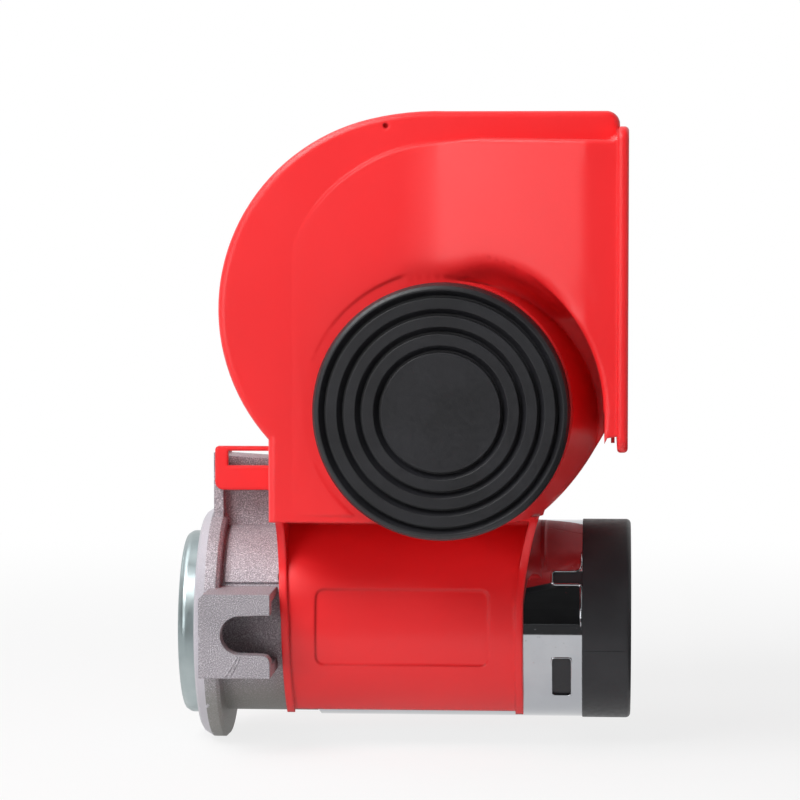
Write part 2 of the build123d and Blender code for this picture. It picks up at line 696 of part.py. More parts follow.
# pressed cover: flat disc with a rolled rim
with BuildPart() as pump_cover:
    with BuildSketch(CHAMBER_SECTION):
        with BuildLine():
            rim_inside = Line((FLANGE_X0 - COVER_T, COVER_RIM_R), (COVER_X0 + 0.8, COVER_RIM_R))
            rim_crest = ThreePointArc(rim_inside @ 1, (COVER_X0, COVER_RIM_R + 0.7), (COVER_X0 + 0.5, COVER_R - 0.5))
            rim_edge = ThreePointArc(rim_crest @ 1, (COVER_X0 + 1.0, COVER_R - 0.15), (COVER_X0 + 1.7, COVER_R))
            Polyline(
                rim_edge @ 1,
                (FLANGE_X0, COVER_R),
                (FLANGE_X0, 0),
                (FLANGE_X0 - COVER_T, 0),
                rim_inside @ 0,
            )
        make_face()
    revolve(axis=CHAMBER_AXIS)
    with BuildSketch(chamber_plane(COVER_X0)):
        with PolarLocations(SCREW_CIRCLE_R, SCREW_COUNT, start_angle=SCREW_FIRST_ANGLE):
            Circle(SCREW_R + 0.15)
    extrude(amount=FLANGE_X0 - COVER_X0 + 1, mode=Mode.SUBTRACT)
save(pump_cover, "pump_cover")

SCREW_SEAT_X = FLANGE_X0 - COVER_T
with BuildPart() as assembly_screws:
    with BuildSketch(chamber_plane(SCREW_SEAT_X)):
        with PolarLocations(SCREW_CIRCLE_R, SCREW_COUNT, start_angle=SCREW_FIRST_ANGLE):
            Circle(SCREW_HEAD_R)
    extrude(amount=-SCREW_HEAD_T)
    chamfer(faces().group_by(Axis.X)[0].edges(), length=0.5)
    with BuildSketch(chamber_plane(SCREW_SEAT_X - SCREW_HEAD_T)):
        with PolarLocations(SCREW_CIRCLE_R, SCREW_COUNT, start_angle=SCREW_FIRST_ANGLE):
            Rectangle(2.4, 0.6)
            Rectangle(0.6, 2.4)
    extrude(amount=1.1, mode=Mode.SUBTRACT)
    with BuildSketch(chamber_plane(SCREW_SEAT_X)):
        with PolarLocations(SCREW_CIRCLE_R, SCREW_COUNT, start_angle=SCREW_FIRST_ANGLE):
            Circle(SCREW_R)
    extrude(amount=SCREW_TIP_X - SCREW_SEAT_X)
save(assembly_screws, "assembly_screws")

with BuildPart() as outlet_gasket:
    with BuildSketch(axis_plane(COLUMN_X1)):
        with Locations((0, OUTLET_Z)):
            RectangleRounded(2 * COLUMN_HALF, 7.0, 1.5)
        with Locations((OUTLET_H, OUTLET_Z), (-OUTLET_H, OUTLET_Z)):
            Circle(OUTLET_R, mode=Mode.SUBTRACT)
    extrude(amount=LEFT_X - COLUMN_X1)
save(outlet_gasket, "outlet_gasket")

with BuildPart() as shaft_bush_pump:
    with BuildSketch(axis_plane(CHAMBER_END_X + 0.3)):
        Circle(4.5)
        Circle(SHAFT_R + 0.04, mode=Mode.SUBTRACT)
    extrude(amount=7.5)
save(shaft_bush_pump, "shaft_bush_pump")

# ======================= rotor and vanes, vanes drawn in =======================
with BuildPart() as pump_rotor:
    with BuildSketch(axis_plane(ROTOR_X0)):
        Circle(ROTOR_R)
        Circle(SHAFT_R, mode=Mode.SUBTRACT)
        with PolarLocations(0, VANE_COUNT):
            with Locations((4.4, 0)):
                Rectangle(10, 1.8, align=(Align.MIN, Align.CENTER), mode=Mode.SUBTRACT)
    extrude(amount=ROTOR_X1 - ROTOR_X0)
save(pump_rotor, "pump_rotor")

for vane_number in range(VANE_COUNT):
    vane_angle = vane_number * 360 / VANE_COUNT
    with BuildPart() as pump_vane:
        with BuildSketch(axis_plane(ROTOR_X0)):
            with Locations(Location((0, 0), vane_angle)):
                with Locations((4.6, 0)):
                    Rectangle(ROTOR_R - 4.75, 1.7, align=(Align.MIN, Align.CENTER))
        extrude(amount=ROTOR_X1 - ROTOR_X0)
    save(pump_vane, f"pump_vane_{vane_number + 1}")

# ======================= motor =======================
CAN_X0 = BARREL_X1
CAN_R_IN = CAN_R - CAN_WALL
SPIGOT_X0 = 64.6  # the end cap's spigot and tabs reach this far into the can


def can_opening(x0, x1, angle, width):
    """Straight cut from the can's axis out through its wall, at an angle up from the horizontal."""
    with BuildPart() as cut:
        with BuildSketch(axis_plane(x0)):
            with Locations(Location((0, 0), 180 - angle)):
                Rectangle(CAN_R + 2, width, align=(Align.MIN, Align.CENTER))
            Circle(CAN_R_IN - 1.5, mode=Mode.SUBTRACT)
        extrude(amount=x1 - x0)
    return cut


# the notch and window of the mounting side, and the same turned half round
can_cuts = [
    can_opening(65.3, CAN_X1 + 0.5, NOTCH_ANGLE, 3.1),
    can_opening(65.4, 69.6, WINDOW_ANGLE, 10.2),
    can_opening(65.3, CAN_X1 + 0.5, NOTCH_ANGLE + 180, 3.1),
    can_opening(65.4, 69.6, WINDOW_ANGLE + 180, 10.2),
]

with BuildPart() as motor_can:
    with BuildSketch(SECTION):
        with BuildLine():
            Polyline(
                (CAN_X0, CAN_R - 0.8),
                (CAN_X0 + 0.8, CAN_R),
                (CAN_X1, CAN_R),
                (CAN_X1, CAN_R_IN),
                (CAN_X0 + 2.0, CAN_R_IN),
                (CAN_X0 + 2.0, SHAFT_R + 1.0),
                (CAN_X0 - 3.2, SHAFT_R + 1.0),
                (CAN_X0 - 3.2, 6.2),
                (CAN_X0, 6.2),
                close=True,
            )
        make_face()
    revolve(axis=PUMP_AXIS)
    with BuildSketch(chamber_plane(CAN_X0 - 1)):
        with PolarLocations(SCREW_CIRCLE_R, SCREW_COUNT, start_angle=SCREW_FIRST_ANGLE):
            Circle(SCREW_R + 0.05)
    extrude(amount=5, mode=Mode.SUBTRACT)
    for cut in can_cuts:
        add(cut.part, mode=Mode.SUBTRACT)
save(motor_can, "motor_can")

# end cap: cup with a spigot in the can, tabs in its openings and a socket for the leads' connectors
CAP_WALL = 1.9
TABS_R = CAN_R - 0.35
SOCKET_Y = 9.5
SOCKET_Z0 = -16.4
SOCKET_Z1 = -7.4
SOCKET_D = 8.0
with BuildPart() as cap_tabs:
    for cut in can_cuts:
        add(cut.part)
    with BuildSketch(axis_plane(SPIGOT_X0)):
        Circle(TABS_R)
        Circle(CAN_R_IN - 1.4, mode=Mode.SUBTRACT)
    extrude(amount=CAN_X1 - SPIGOT_X0, mode=Mode.INTERSECT)

with BuildPart() as motor_end_cap:
    with BuildSketch(SECTION):
        with BuildLine():
            Polyline(
                (SPIGOT_X0, CAN_R_IN - 1.5),
                (SPIGOT_X0, CAN_R_IN - 0.1),
                (CAN_X1, CAN_R_IN - 0.1),
                (CAN_X1, CAN_R + 0.2),
                (CAP_X1, CAN_R + 0.2),
                (CAP_X1, 0),
                (CAP_X1 - 4.4, 0),
                (CAP_X1 - 4.4, 4.5),
                (CAN_X1 + 0.8, 4.5),
                (CAN_X1 + 0.8, 7.5),
                (CAP_X1 - 2.3, 7.5),
                (CAP_X1 - 2.3, CAN_R - CAP_WALL - 1),
                (CAN_X1, CAN_R_IN - 1.5),
                close=True,
            )
        make_face()
    revolve(axis=PUMP_AXIS)
    outer_edge = edges().filter_by(GeomType.CIRCLE).group_by(Axis.X)[-1].sort_by(SortBy.RADIUS)[-1]
    fillet(outer_edge, radius=1.0)
    with BuildSketch(axis_plane(CAP_X1)):
        with Locations((0, (SOCKET_Z0 + SOCKET_Z1) / 2)):
            Rectangle(2 * SOCKET_Y + 3, SOCKET_Z1 - SOCKET_Z0 + 1.4)
    extrude(amount=-SOCKET_D - 1.5)
    with BuildSketch(axis_plane(CAP_X1)):
        with Locations((0, (SOCKET_Z0 + SOCKET_Z1) / 2)):
            RectangleRounded(2 * SOCKET_Y, SOCKET_Z1 - SOCKET_Z0, 1.2)
    extrude(amount=-SOCKET_D, mode=Mode.SUBTRACT)
    with BuildSketch(axis_plane(CAP_X1 - 20)):
        with Locations((-4.8, -11.9), (4.8, -11.9)):
            Rectangle(0.9, 6.4)
    extrude(amount=20, mode=Mode.SUBTRACT)
    add(cap_tabs.part)
save(motor_end_cap, "motor_end_cap")

with BuildPart() as shaft_bush_end:
    with BuildSketch(axis_plane(CAN_X1 + 1)):
        Circle(4.45)
        Circle(SHAFT_R + 0.04, mode=Mode.SUBTRACT)
    extrude(amount=4.8)
save(shaft_bush_end, "shaft_bush_end")

for magnet_name, centre_angle in (("magnet_front", 180), ("magnet_rear", 0)):
    with BuildPart() as magnet:
        with BuildSketch(axis_plane(22.0)):
            with BuildLine():
                first = centre_angle - MAGNET_ANGLE / 2
                outer = CenterArc((0, 0), CAN_R_IN - 0.05, first, MAGNET_ANGLE)
                inner = CenterArc((0, 0), MAGNET_R_IN, first, MAGNET_ANGLE)
                Line(outer @ 0, inner @ 0)
                Line(outer @ 1, inner @ 1)
            make_face()
        extrude(amount=36)
    save(magnet, magnet_name)

with BuildPart() as motor_shaft:
    with BuildSketch(axis_plane(SHAFT_X0)):
        Circle(SHAFT_R)
    extrude(amount=SHAFT_X1 - SHAFT_X0 - 0.4)
    chamfer(edges().filter_by(GeomType.CIRCLE), length=0.4)
save(motor_shaft, "motor_shaft")

# laminated core: teeth with broad heads, the winding fills the slots and bulges out at both ends
with BuildPart() as armature_core:
    with BuildSketch(axis_plane(ARMATURE_X0)):
        Circle(ARMATURE_R)
        Circle(SHAFT_R, mode=Mode.SUBTRACT)
        with PolarLocations(10.8, ARMATURE_SLOTS):
            SlotOverall(6.4, 4.0, mode=Mode.SUBTRACT)
        with PolarLocations(14.5, ARMATURE_SLOTS):
            Rectangle(4.5, 1.8, mode=Mode.SUBTRACT)
    extrude(amount=ARMATURE_X1 - ARMATURE_X0)
save(armature_core, "armature_core")

with BuildPart() as armature_winding:
    with BuildSketch(SECTION):
        for near_x, far_x in ((ARMATURE_X0, ARMATURE_X0 - 5.5), (ARMATURE_X1, ARMATURE_X1 + 5.5)):
            middle_x = (near_x + far_x) / 2
            with BuildLine():
                crown = ThreePointArc((near_x, 13.8), (middle_x, 14.4), (far_x, 11.0))
                Polyline(crown @ 1, (far_x, 6.0), (near_x, 6.0), crown @ 0)
            make_face()
    revolve(axis=PUMP_AXIS)
    with BuildSketch(axis_plane(ARMATURE_X0)):
        with PolarLocations(10.8, ARMATURE_SLOTS):
            SlotOverall(6.2, 3.8)
    extrude(amount=ARMATURE_X1 - ARMATURE_X0)
save(armature_winding, "armature_winding")

with BuildPart() as commutator:
    with BuildSketch(axis_plane(COMMUTATOR_X0)):
        Circle(COMMUTATOR_R)
        Circle(SHAFT_R, mode=Mode.SUBTRACT)
        with PolarLocations(COMMUTATOR_R - 0.4, ARMATURE_SLOTS):
            Rectangle(1.2, 0.5, mode=Mode.SUBTRACT)
    extrude(amount=COMMUTATOR_X1 - COMMUTATOR_X0)
save(commutator, "commutator")

with BuildPart() as thrust_washer:
    with BuildSketch(axis_plane(COMMUTATOR_X1 + 2.4)):
        Circle(4.2)
        Circle(SHAFT_R, mode=Mode.SUBTRACT)
    extrude(amount=0.6)
save(thrust_washer, "thrust_washer")

# brush gear: plate in the end cap, two brushes pressed on the commutator by springs
BRUSH_HALF = 2.5
BRUSH_TOP = 12.4
SPRING_R = 1.7
SPRING_PITCH = 1.3
with BuildPart() as brush_plate:
    with BuildSketch(axis_plane(COMMUTATOR_X1 - 0.6)):
        Circle(CAN_R_IN - 1.7)
        Circle(COMMUTATOR_R + 0.8, mode=Mode.SUBTRACT)
    extrude(amount=1.6)
    with BuildSketch(axis_plane(COMMUTATOR_X1 - 0.6)):
        with Locations((0, 13.0), (0, -13.0)):
            Rectangle(2 * BRUSH_HALF + 2.2, 8.8)
    extrude(amount=-8.2)
    with BuildSketch(axis_plane(COMMUTATOR_X1 - 1.6)):
        with Locations((0, 12.2), (0, -12.2)):
            Rectangle(2 * BRUSH_HALF + 0.2, 9.2)
    extrude(amount=-5.7, mode=Mode.SUBTRACT)
save(brush_plate, "brush_plate")

for side_name, side_sign in (("upper", 1), ("lower", -1)):
    with BuildPart() as brush:
        with BuildSketch(axis_plane(COMMUTATOR_X1 - 7.2)):
            with Locations((0, side_sign * (COMMUTATOR_R + BRUSH_TOP) / 2)):
                Rectangle(2 * BRUSH_HALF, BRUSH_TOP - COMMUTATOR_R)
            Circle(COMMUTATOR_R + 0.15, mode=Mode.SUBTRACT)
        extrude(amount=5.5)
    save(brush, f"brush_{side_name}")

spring_seat = Plane(origin=(COMMUTATOR_X1 - 4.45, MID_Y, BRUSH_TOP + 0.4))
with BuildPart() as brush_spring_upper:
    with BuildLine(spring_seat):
        coil = Helix(pitch=SPRING_PITCH, height=3.3, radius=SPRING_R)
    with BuildSketch(Plane(origin=coil @ 0, z_dir=coil % 0)):
        RegularPolygon(radius=0.3, side_count=6)
    sweep(path=coil)
save(brush_spring_upper, "brush_spring_upper")

with BuildPart() as brush_spring_lower:
    add(mirror(brush_spring_upper.part, about=Plane.XY))
save(brush_spring_lower, "brush_spring_lower")

for terminal_name, terminal_y in (("terminal_positive", -4.8), ("terminal_negative", 4.8)):
    with BuildPart() as terminal:
        with BuildSketch(axis_plane(COMMUTATOR_X1 + 1.2)):
            with Locations((terminal_y, -11.9)):
                Rectangle(0.8, 6.3)
        extrude(amount=11.0)
        chamfer(edges().group_by(Axis.X)[-1].filter_by(Axis.Y), length=0.9)
    save(terminal, terminal_name)
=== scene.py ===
# Looks of a two-tone snail air horn with its compressor: finishes, softened flares, small trim,
# camera and light.

import logging
import math
from dataclasses import dataclass, field
from enum import Enum
from typing import Iterable, Sequence

import bmesh
import bpy
import numpy as np
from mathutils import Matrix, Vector
from mathutils.bvhtree import BVHTree


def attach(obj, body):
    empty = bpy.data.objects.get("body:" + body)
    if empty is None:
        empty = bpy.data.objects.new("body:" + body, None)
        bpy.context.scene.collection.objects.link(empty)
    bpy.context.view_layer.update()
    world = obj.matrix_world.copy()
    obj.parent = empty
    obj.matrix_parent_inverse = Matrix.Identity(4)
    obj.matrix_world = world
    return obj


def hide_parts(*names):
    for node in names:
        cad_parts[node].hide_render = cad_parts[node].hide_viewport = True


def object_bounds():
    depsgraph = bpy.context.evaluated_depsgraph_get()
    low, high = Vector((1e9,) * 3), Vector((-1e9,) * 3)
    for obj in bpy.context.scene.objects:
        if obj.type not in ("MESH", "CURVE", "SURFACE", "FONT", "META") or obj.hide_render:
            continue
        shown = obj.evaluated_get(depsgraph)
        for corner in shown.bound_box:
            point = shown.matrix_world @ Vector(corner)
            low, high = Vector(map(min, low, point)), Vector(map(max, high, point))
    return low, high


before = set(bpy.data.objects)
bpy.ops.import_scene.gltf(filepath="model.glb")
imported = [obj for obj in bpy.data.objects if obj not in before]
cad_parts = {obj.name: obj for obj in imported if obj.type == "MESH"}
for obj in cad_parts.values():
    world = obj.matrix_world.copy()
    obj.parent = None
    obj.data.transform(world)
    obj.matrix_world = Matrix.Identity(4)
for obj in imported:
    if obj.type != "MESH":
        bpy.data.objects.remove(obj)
cad_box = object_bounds()

log = logging.getLogger("horn")

MM = 0.001
MID_Y = 34.5 * MM  # mid-plane of the horn and axis of pump and motor
MIDDLE = (0.25, 0.75)  # span that most of a noise texture's values lie in

Colour = tuple[float, float, float]
Socket = bpy.types.NodeSocket


def linear(red: int, green: int, blue: int) -> Colour:
    """Turn a screen colour of 0 to 255 a channel into scene-linear values.

    Args:
        red: Red channel.
        green: Green channel.
        blue: Blue channel.

    Returns:
        The same colour as three linear values from 0 to 1.
    """
    values = (red / 255, green / 255, blue / 255)
    return tuple(v / 12.92 if v <= 0.04045 else ((v + 0.055) / 1.055) ** 2.4 for v in values)


class Grain(Enum):
    """Noise scales, in features per metre, at which a surface varies."""

    CLOUD = 22.0
    MOTTLE = 90.0
    PATCH = 330.0
    ORANGE_PEEL = 900.0
    PIT = 1500.0
    SAND = 2600.0
    FINE = 4500.0


class NodeSheet:
    """Node tree of one material, with short calls for the nodes that the finishes share."""

    def __init__(self, name: str) -> None:
        """Make an empty material with a Principled shader.

        Args:
            name: Name of the material.
        """
        self.material = bpy.data.materials.new(name)
        self.material.use_nodes = True
        self.tree = self.material.node_tree
        self.shader = self.tree.nodes["Principled BSDF"]
        self.place = self.tree.nodes.new("ShaderNodeTexCoord").outputs["Object"]

    def node(self, kind: str, **settings: object) -> bpy.types.Node:
        """Add a node and set its properties.

        Args:
            kind: Blender's class name of the node.
            **settings: Properties to set on it.

        Returns:
            The new node.
        """
        made = self.tree.nodes.new(kind)
        for key, value in settings.items():
            setattr(made, key, value)
        return made

    def link(self, source: Socket, target: Socket) -> None:
        """Join an output socket to an input socket."""
        self.tree.links.new(source, target)

    def math(self, operation: str, first: Socket, second: Socket | float) -> Socket:
        """Combine a value with another value or a number and return the result's socket."""
        made = self.node("ShaderNodeMath", operation=operation)
        self.link(first, made.inputs[0])
        if isinstance(second, float):
            made.inputs[1].default_value = second
        else:
            self.link(second, made.inputs[1])
        return made.outputs["Value"]

    def stretched(self, scale: Sequence[float]) -> Socket:
        """Object coordinates scaled by three factors, for drawn or streaked marks."""
        mapping = self.node("ShaderNodeMapping")
        mapping.inputs["Scale"].default_value = scale
        self.link(self.place, mapping.inputs["Vector"])
        return mapping.outputs["Vector"]

    def along(self, axis: str) -> Socket:
        """One object coordinate, "X", "Y" or "Z", in metres."""
        parts = self.node("ShaderNodeSeparateXYZ")
        self.link(self.place, parts.inputs["Vector"])
        return parts.outputs[axis]

    def noise(self, scale: float, detail: float = 3.0, place: Socket | None = None) -> Socket:
        """Add a noise texture.

        Args:
            scale: Features per metre.
            detail: Octaves of detail.
            place: Coordinates, or the object's own when left out.

        Returns:
            The texture's value socket.
        """
        made = self.node("ShaderNodeTexNoise")
        made.inputs["Scale"].default_value = scale
        made.inputs["Detail"].default_value = detail
        self.link(place or self.place, made.inputs["Vector"])
        return made.outputs["Fac"]

    def ramp(self, source: Socket, stops: Sequence[tuple[float, Colour]]) -> Socket:
        """Colour a value by a ramp of (position, colour) stops and return the colour socket."""
        made = self.node("ShaderNodeValToRGB")
        made.color_ramp.interpolation = "EASE"
        elements = made.color_ramp.elements
        while len(elements) < len(stops):
            elements.new(0.5)
        for element, (position, colour) in zip(elements, stops):
            element.position = position
            element.color = (*colour, 1.0)
        self.link(source, made.inputs["Fac"])
        return made.outputs["Color"]

    def span(
        self,
        source: Socket,
        low: float,
        high: float,
        start: float = MIDDLE[0],
        end: float = MIDDLE[1],
    ) -> Socket:
        """Map a value's range smoothly to another.

        Args:
            source: Value to map.
            low: Result at the start of the range.
            high: Result at its end.
            start: Start of the range.
            end: End of the range.

        Returns:
            The mapped value's socket.
        """
        made = self.node("ShaderNodeMapRange", interpolation_type="SMOOTHSTEP")
        made.inputs["From Min"].default_value = start
        made.inputs["From Max"].default_value = end
        made.inputs["To Min"].default_value = low
        made.inputs["To Max"].default_value = high
        self.link(source, made.inputs["Value"])
        return made.outputs["Result"]

    def blended(
        self,
        share: Socket | float,
        first: Socket | Colour,
        second: Socket | Colour,
        way: str = "MIX",
    ) -> Socket:
        """Mix two colours.

        Args:
            share: How much of the second colour shows, from 0 to 1, a socket or a plain number.
            first: Colour under the mix, a socket or a plain colour.
            second: Colour over it, a socket or a plain colour.
            way: Blend type of the mix.

        Returns:
            The mixed colour's socket.
        """
        made = self.node("ShaderNodeMix", data_type="RGBA", blend_type=way)
        if isinstance(share, float):
            made.inputs["Factor"].default_value = share
        else:
            self.link(share, made.inputs["Factor"])
        for name, value in (("A", first), ("B", second)):
            socket = next(s for s in made.inputs if s.name == name and s.type == "RGBA")
            if isinstance(value, tuple):
                socket.default_value = (*value, 1.0)
            else:
                self.link(value, socket)
        return next(s for s in made.outputs if s.type == "RGBA")

    def bump(
        self,
        source: Socket,
        depth: float,
        strength: float = 1.0,
        under: Socket | None = None,
    ) -> Socket:
        """Add a bump of a real depth in metres and return its normal socket.

        Args:
            source: Height from 0 to 1.
            depth: Depth of the relief in metres.
            strength: Share of the bump to use.
            under: Normal of a bump beneath this one.

        Returns:
            The bump's normal socket.
        """
        made = self.node("ShaderNodeBump")
        made.inputs["Distance"].default_value = depth
        made.inputs["Strength"].default_value = strength
        self.link(source, made.inputs["Height"])
        if under:
            self.link(under, made.inputs["Normal"])
        return made.outputs["Normal"]

    def soften(self, radius: float, over: Socket | None = None) -> None:
        """Round the look of sharp edges by a radius in metres, over an optional bump's normal."""
        made = self.node("ShaderNodeBevel", samples=4)
        made.inputs["Radius"].default_value = radius
        if over:
            self.link(over, made.inputs["Normal"])
        self.drive("Normal", made.outputs["Normal"])

    def set(self, **values: object) -> None:
        """Set constant values on the shader's own sockets, named with underscores for spaces."""
        for key, value in values.items():
            name = key.replace("_", " ")
            self.shader.inputs[name].default_value = value

    def drive(self, name: str, source: Socket) -> None:
        """Link a socket into one of the shader's inputs."""
        self.link(source, self.shader.inputs[name])


# ---------------------------------------------------------------- finishes


@dataclass(frozen=True)
class MouldedShell:
    """Satin-gloss red ABS of the horn halves, with a fine moulded skin."""

    name: str = "red_abs"
    deep: Colour = linear(221, 29, 33)
    light: Colour = linear(239, 39, 43)
    roughness: tuple[float, float] = (0.29, 0.34)
    flow: tuple[float, float, float] = (1.0, 1.0, 0.3)  # stretches the sheen along the mould's flow
    skin_depth: float = 0.006 * MM
    edge: float = 0.9 * MM

    def make(self) -> bpy.types.Material:
        """Build the material and return it."""
        sheet = NodeSheet(self.name)
        cloud = sheet.noise(Grain.CLOUD.value, detail=2.0)
        sheet.drive("Base Color", sheet.ramp(cloud, ((0.0, self.deep), (1.0, self.light))))
        flow = sheet.noise(Grain.MOTTLE.value, detail=2.0, place=sheet.stretched(self.flow))
        sheet.drive("Roughness", sheet.span(flow, *self.roughness, start=0.0, end=1.0))
        skin = sheet.bump(sheet.noise(Grain.FINE.value, detail=2.0), self.skin_depth, strength=0.5)
        sheet.soften(self.edge, skin)
        return sheet.material


@dataclass(frozen=True)
class Moulded:
    """Moulded plastic, rubber, felt or carbon with a fine texture and a soft sheen."""

    name: str
    dark: Colour = linear(27, 27, 30)
    light: Colour = linear(35, 35, 39)
    roughness: tuple[float, float] = (0.4, 0.52)
    grain: Grain = Grain.SAND
    grain_depth: float = 0.02 * MM
    edge: float = 0.3 * MM
    specular: float = 0.5

    def make(self) -> bpy.types.Material:
        """Build the material and return it."""
        sheet = NodeSheet(self.name)
        sheet.set(Specular_IOR_Level=self.specular)
        cloud = sheet.noise(Grain.MOTTLE.value, detail=4.0)
        sheet.drive("Base Color", sheet.ramp(cloud, ((MIDDLE[0], self.dark), (MIDDLE[1], self.light))))
        sheet.drive("Roughness", sheet.span(sheet.noise(Grain.ORANGE_PEEL.value), *self.roughness))
        texture = sheet.bump(sheet.noise(self.grain.value, detail=2.0), self.grain_depth, strength=0.4)
        sheet.soften(self.edge, texture)
        return sheet.material


@dataclass(frozen=True)
class DieCasting:
    """Blasted zinc-aluminium casting: fine grain whose brightest grains are painted glints, painted shade
    darkening it towards the underside, a cut edge strip and worn bright chips.
    """

    name: str = "die_casting"
    shade: Colour = linear(124, 119, 124)
    skin: Colour = linear(161, 156, 162)
    # painted glint: near-white colour for the brightest grains, standing in for specular sparkle
    painted_glint: Colour = linear(226, 222, 228)
    # painted shade of the underside: a darker tone blended in towards the bottom
    underside_shade: Colour = linear(131, 131, 124)
    cut: Colour = linear(188, 184, 192)
    cloud: tuple[Colour, Colour] = ((0.8, 0.8, 0.8), (1.0, 1.0, 1.0))  # darkens and leaves the skin
    sand_stops: tuple[float, float, float] = (0.32, 0.5, 0.72)  # where the dark grain, the skin and the painted glint lie in the grain
    cloud_stops: tuple[float, float] = (0.2, 0.8)
    grain_depth: float = 0.04 * MM
    lump_depth: float = 0.06 * MM
    edge: float = 0.35 * MM
    roughness: tuple[float, float] = (0.58, 0.36)  # of the blasted skin and of bright metal
    metallic: float = 0.3
    cut_x: tuple[float, float] = (-8.92 * MM, -8.8 * MM)  # where the cut strip on the flange ends
    cut_share: float = 0.8
    chip_x: tuple[float, float] = (-9.0 * MM, -7.4 * MM)  # chips thin out along this span
    chip_stops: tuple[float, float] = (0.6, 0.66)  # noise values at which a chip starts and is full
    low_z: tuple[float, float] = (-17.0 * MM, -8.0 * MM)  # painted shade: the casting darkens towards its underside over this span
    # how much of the painted underside shade shows at the bottom
    underside_shade_share: float = 0.75

    def make(self) -> bpy.types.Material:
        """Build the material and return it."""
        sheet = NodeSheet(self.name)
        sand = sheet.noise(Grain.FINE.value, detail=5.0)
        # the grain's brightest stop is a painted glint
        grains = sheet.ramp(sand, tuple(zip(self.sand_stops, (self.shade, self.skin, self.painted_glint))))
        mottle = sheet.noise(Grain.MOTTLE.value, detail=3.0)
        cloud = sheet.ramp(mottle, tuple(zip(self.cloud_stops, self.cloud)))
        mottled = sheet.blended(1.0, grains, cloud, "MULTIPLY")
        # painted shade: the casting's colour darkens towards the bottom
        lower = sheet.span(sheet.along("Z"), self.underside_shade_share, 0.0, *self.low_z)
        skin = sheet.blended(lower, mottled, self.underside_shade)
        strip = sheet.span(sheet.along("X"), self.cut_share, 0.0, *self.cut_x)
        chips = sheet.span(sheet.noise(Grain.ORANGE_PEEL.value, detail=2.0), 0.0, 1.0, *self.chip_stops)
        worn = sheet.math("MULTIPLY", chips, sheet.span(sheet.along("X"), 1.0, 0.0, *self.chip_x))
        bright = sheet.math("MAXIMUM", strip, worn)
        sheet.drive("Base Color", sheet.blended(bright, skin, self.cut))
        sheet.drive("Roughness", sheet.span(bright, *self.roughness, start=0.0, end=1.0))
        lumps = sheet.bump(sheet.noise(Grain.PATCH.value, detail=2.0), self.lump_depth, strength=0.4)
        grain = sheet.bump(sand, self.grain_depth, strength=0.5, under=lumps)
        sheet.soften(self.edge, grain)
        sheet.set(Metallic=self.metallic)
        return sheet.material


@dataclass(frozen=True)
class Plate:
    """Plated or bare metal: chrome, zinc, steel, copper or brass."""

    name: str
    colour: Colour
    tint: Colour
    roughness: tuple[float, float]
    metallic: float = 1.0
    streak: tuple[float, float, float] = (1.0, 1.0, 1.0)
    scratch_depth: float = 0.002 * MM
    edge: float = 0.2 * MM
    cloud_stops: tuple[float, float] = (0.3, 0.75)  # where colour and tint lie in the clouding
    pit_depth: float = 0.0
    pit_stops: tuple[float, float] = (0.7, 0.78)  # noise values at which a pit starts and is full
    pitted: tuple[float, float] = (0.48, 0.6)  # the same for the patches that have pits

    def make(self) -> bpy.types.Material:
        """Build the material and return it."""
        sheet = NodeSheet(self.name)
        cloud = sheet.noise(Grain.MOTTLE.value, detail=4.0)
        sheet.drive("Base Color", sheet.ramp(cloud, tuple(zip(self.cloud_stops, (self.colour, self.tint)))))
        drawn = sheet.noise(Grain.ORANGE_PEEL.value, detail=5.0, place=sheet.stretched(self.streak))
        sheet.drive("Roughness", sheet.span(drawn, *self.roughness))
        marks = sheet.bump(drawn, self.scratch_depth, strength=0.5)
        if self.pit_depth:
            pits = sheet.span(sheet.noise(Grain.PIT.value, detail=1.0), 0.0, 1.0, *self.pit_stops)
            where = sheet.span(sheet.noise(Grain.MOTTLE.value, detail=1.0), 0.0, 1.0, *self.pitted)
            marks = sheet.bump(sheet.math("MULTIPLY", pits, where), self.pit_depth, under=marks)
        sheet.soften(self.edge, marks)
        sheet.set(Metallic=self.metallic)
        return sheet.material


# ---------------------------------------------------------------- shared mesh work


def cad(name: str) -> bpy.types.Object:
    """Return the loaded object of a CAD node."""
    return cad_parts[name]


def dress(names: Iterable[str], material: bpy.types.Material) -> None:
    """Give CAD nodes a material in place of the plain one they came with.

    Args:
        names: Node names.
        material: Finish for all of them.
    """
    for name in names:
        piece = cad(name)
        piece.data.materials.clear()
        piece.data.materials.append(material)
        log.info("%s dressed in %s", name, material.name)


def once(items: Iterable[object]) -> list[object]:
    """List each item once, in the order met, so that every run cuts the mesh alike."""
    return list(dict.fromkeys(items))


def smooth(share: float) -> float:
    """Ease a share from 0 to 1, held at both ends."""
    held = min(max(share, 0.0), 1.0)
    return held * held * (3 - 2 * held)


TIP = 0.35  # radius of an open bead's end, as a share of its full radius
TIP_RINGS = 2  # rings over which the end swells to the full radius
NEARLY_ALONG = 0.2  # sine of the angle below which a bead counts as running along Y


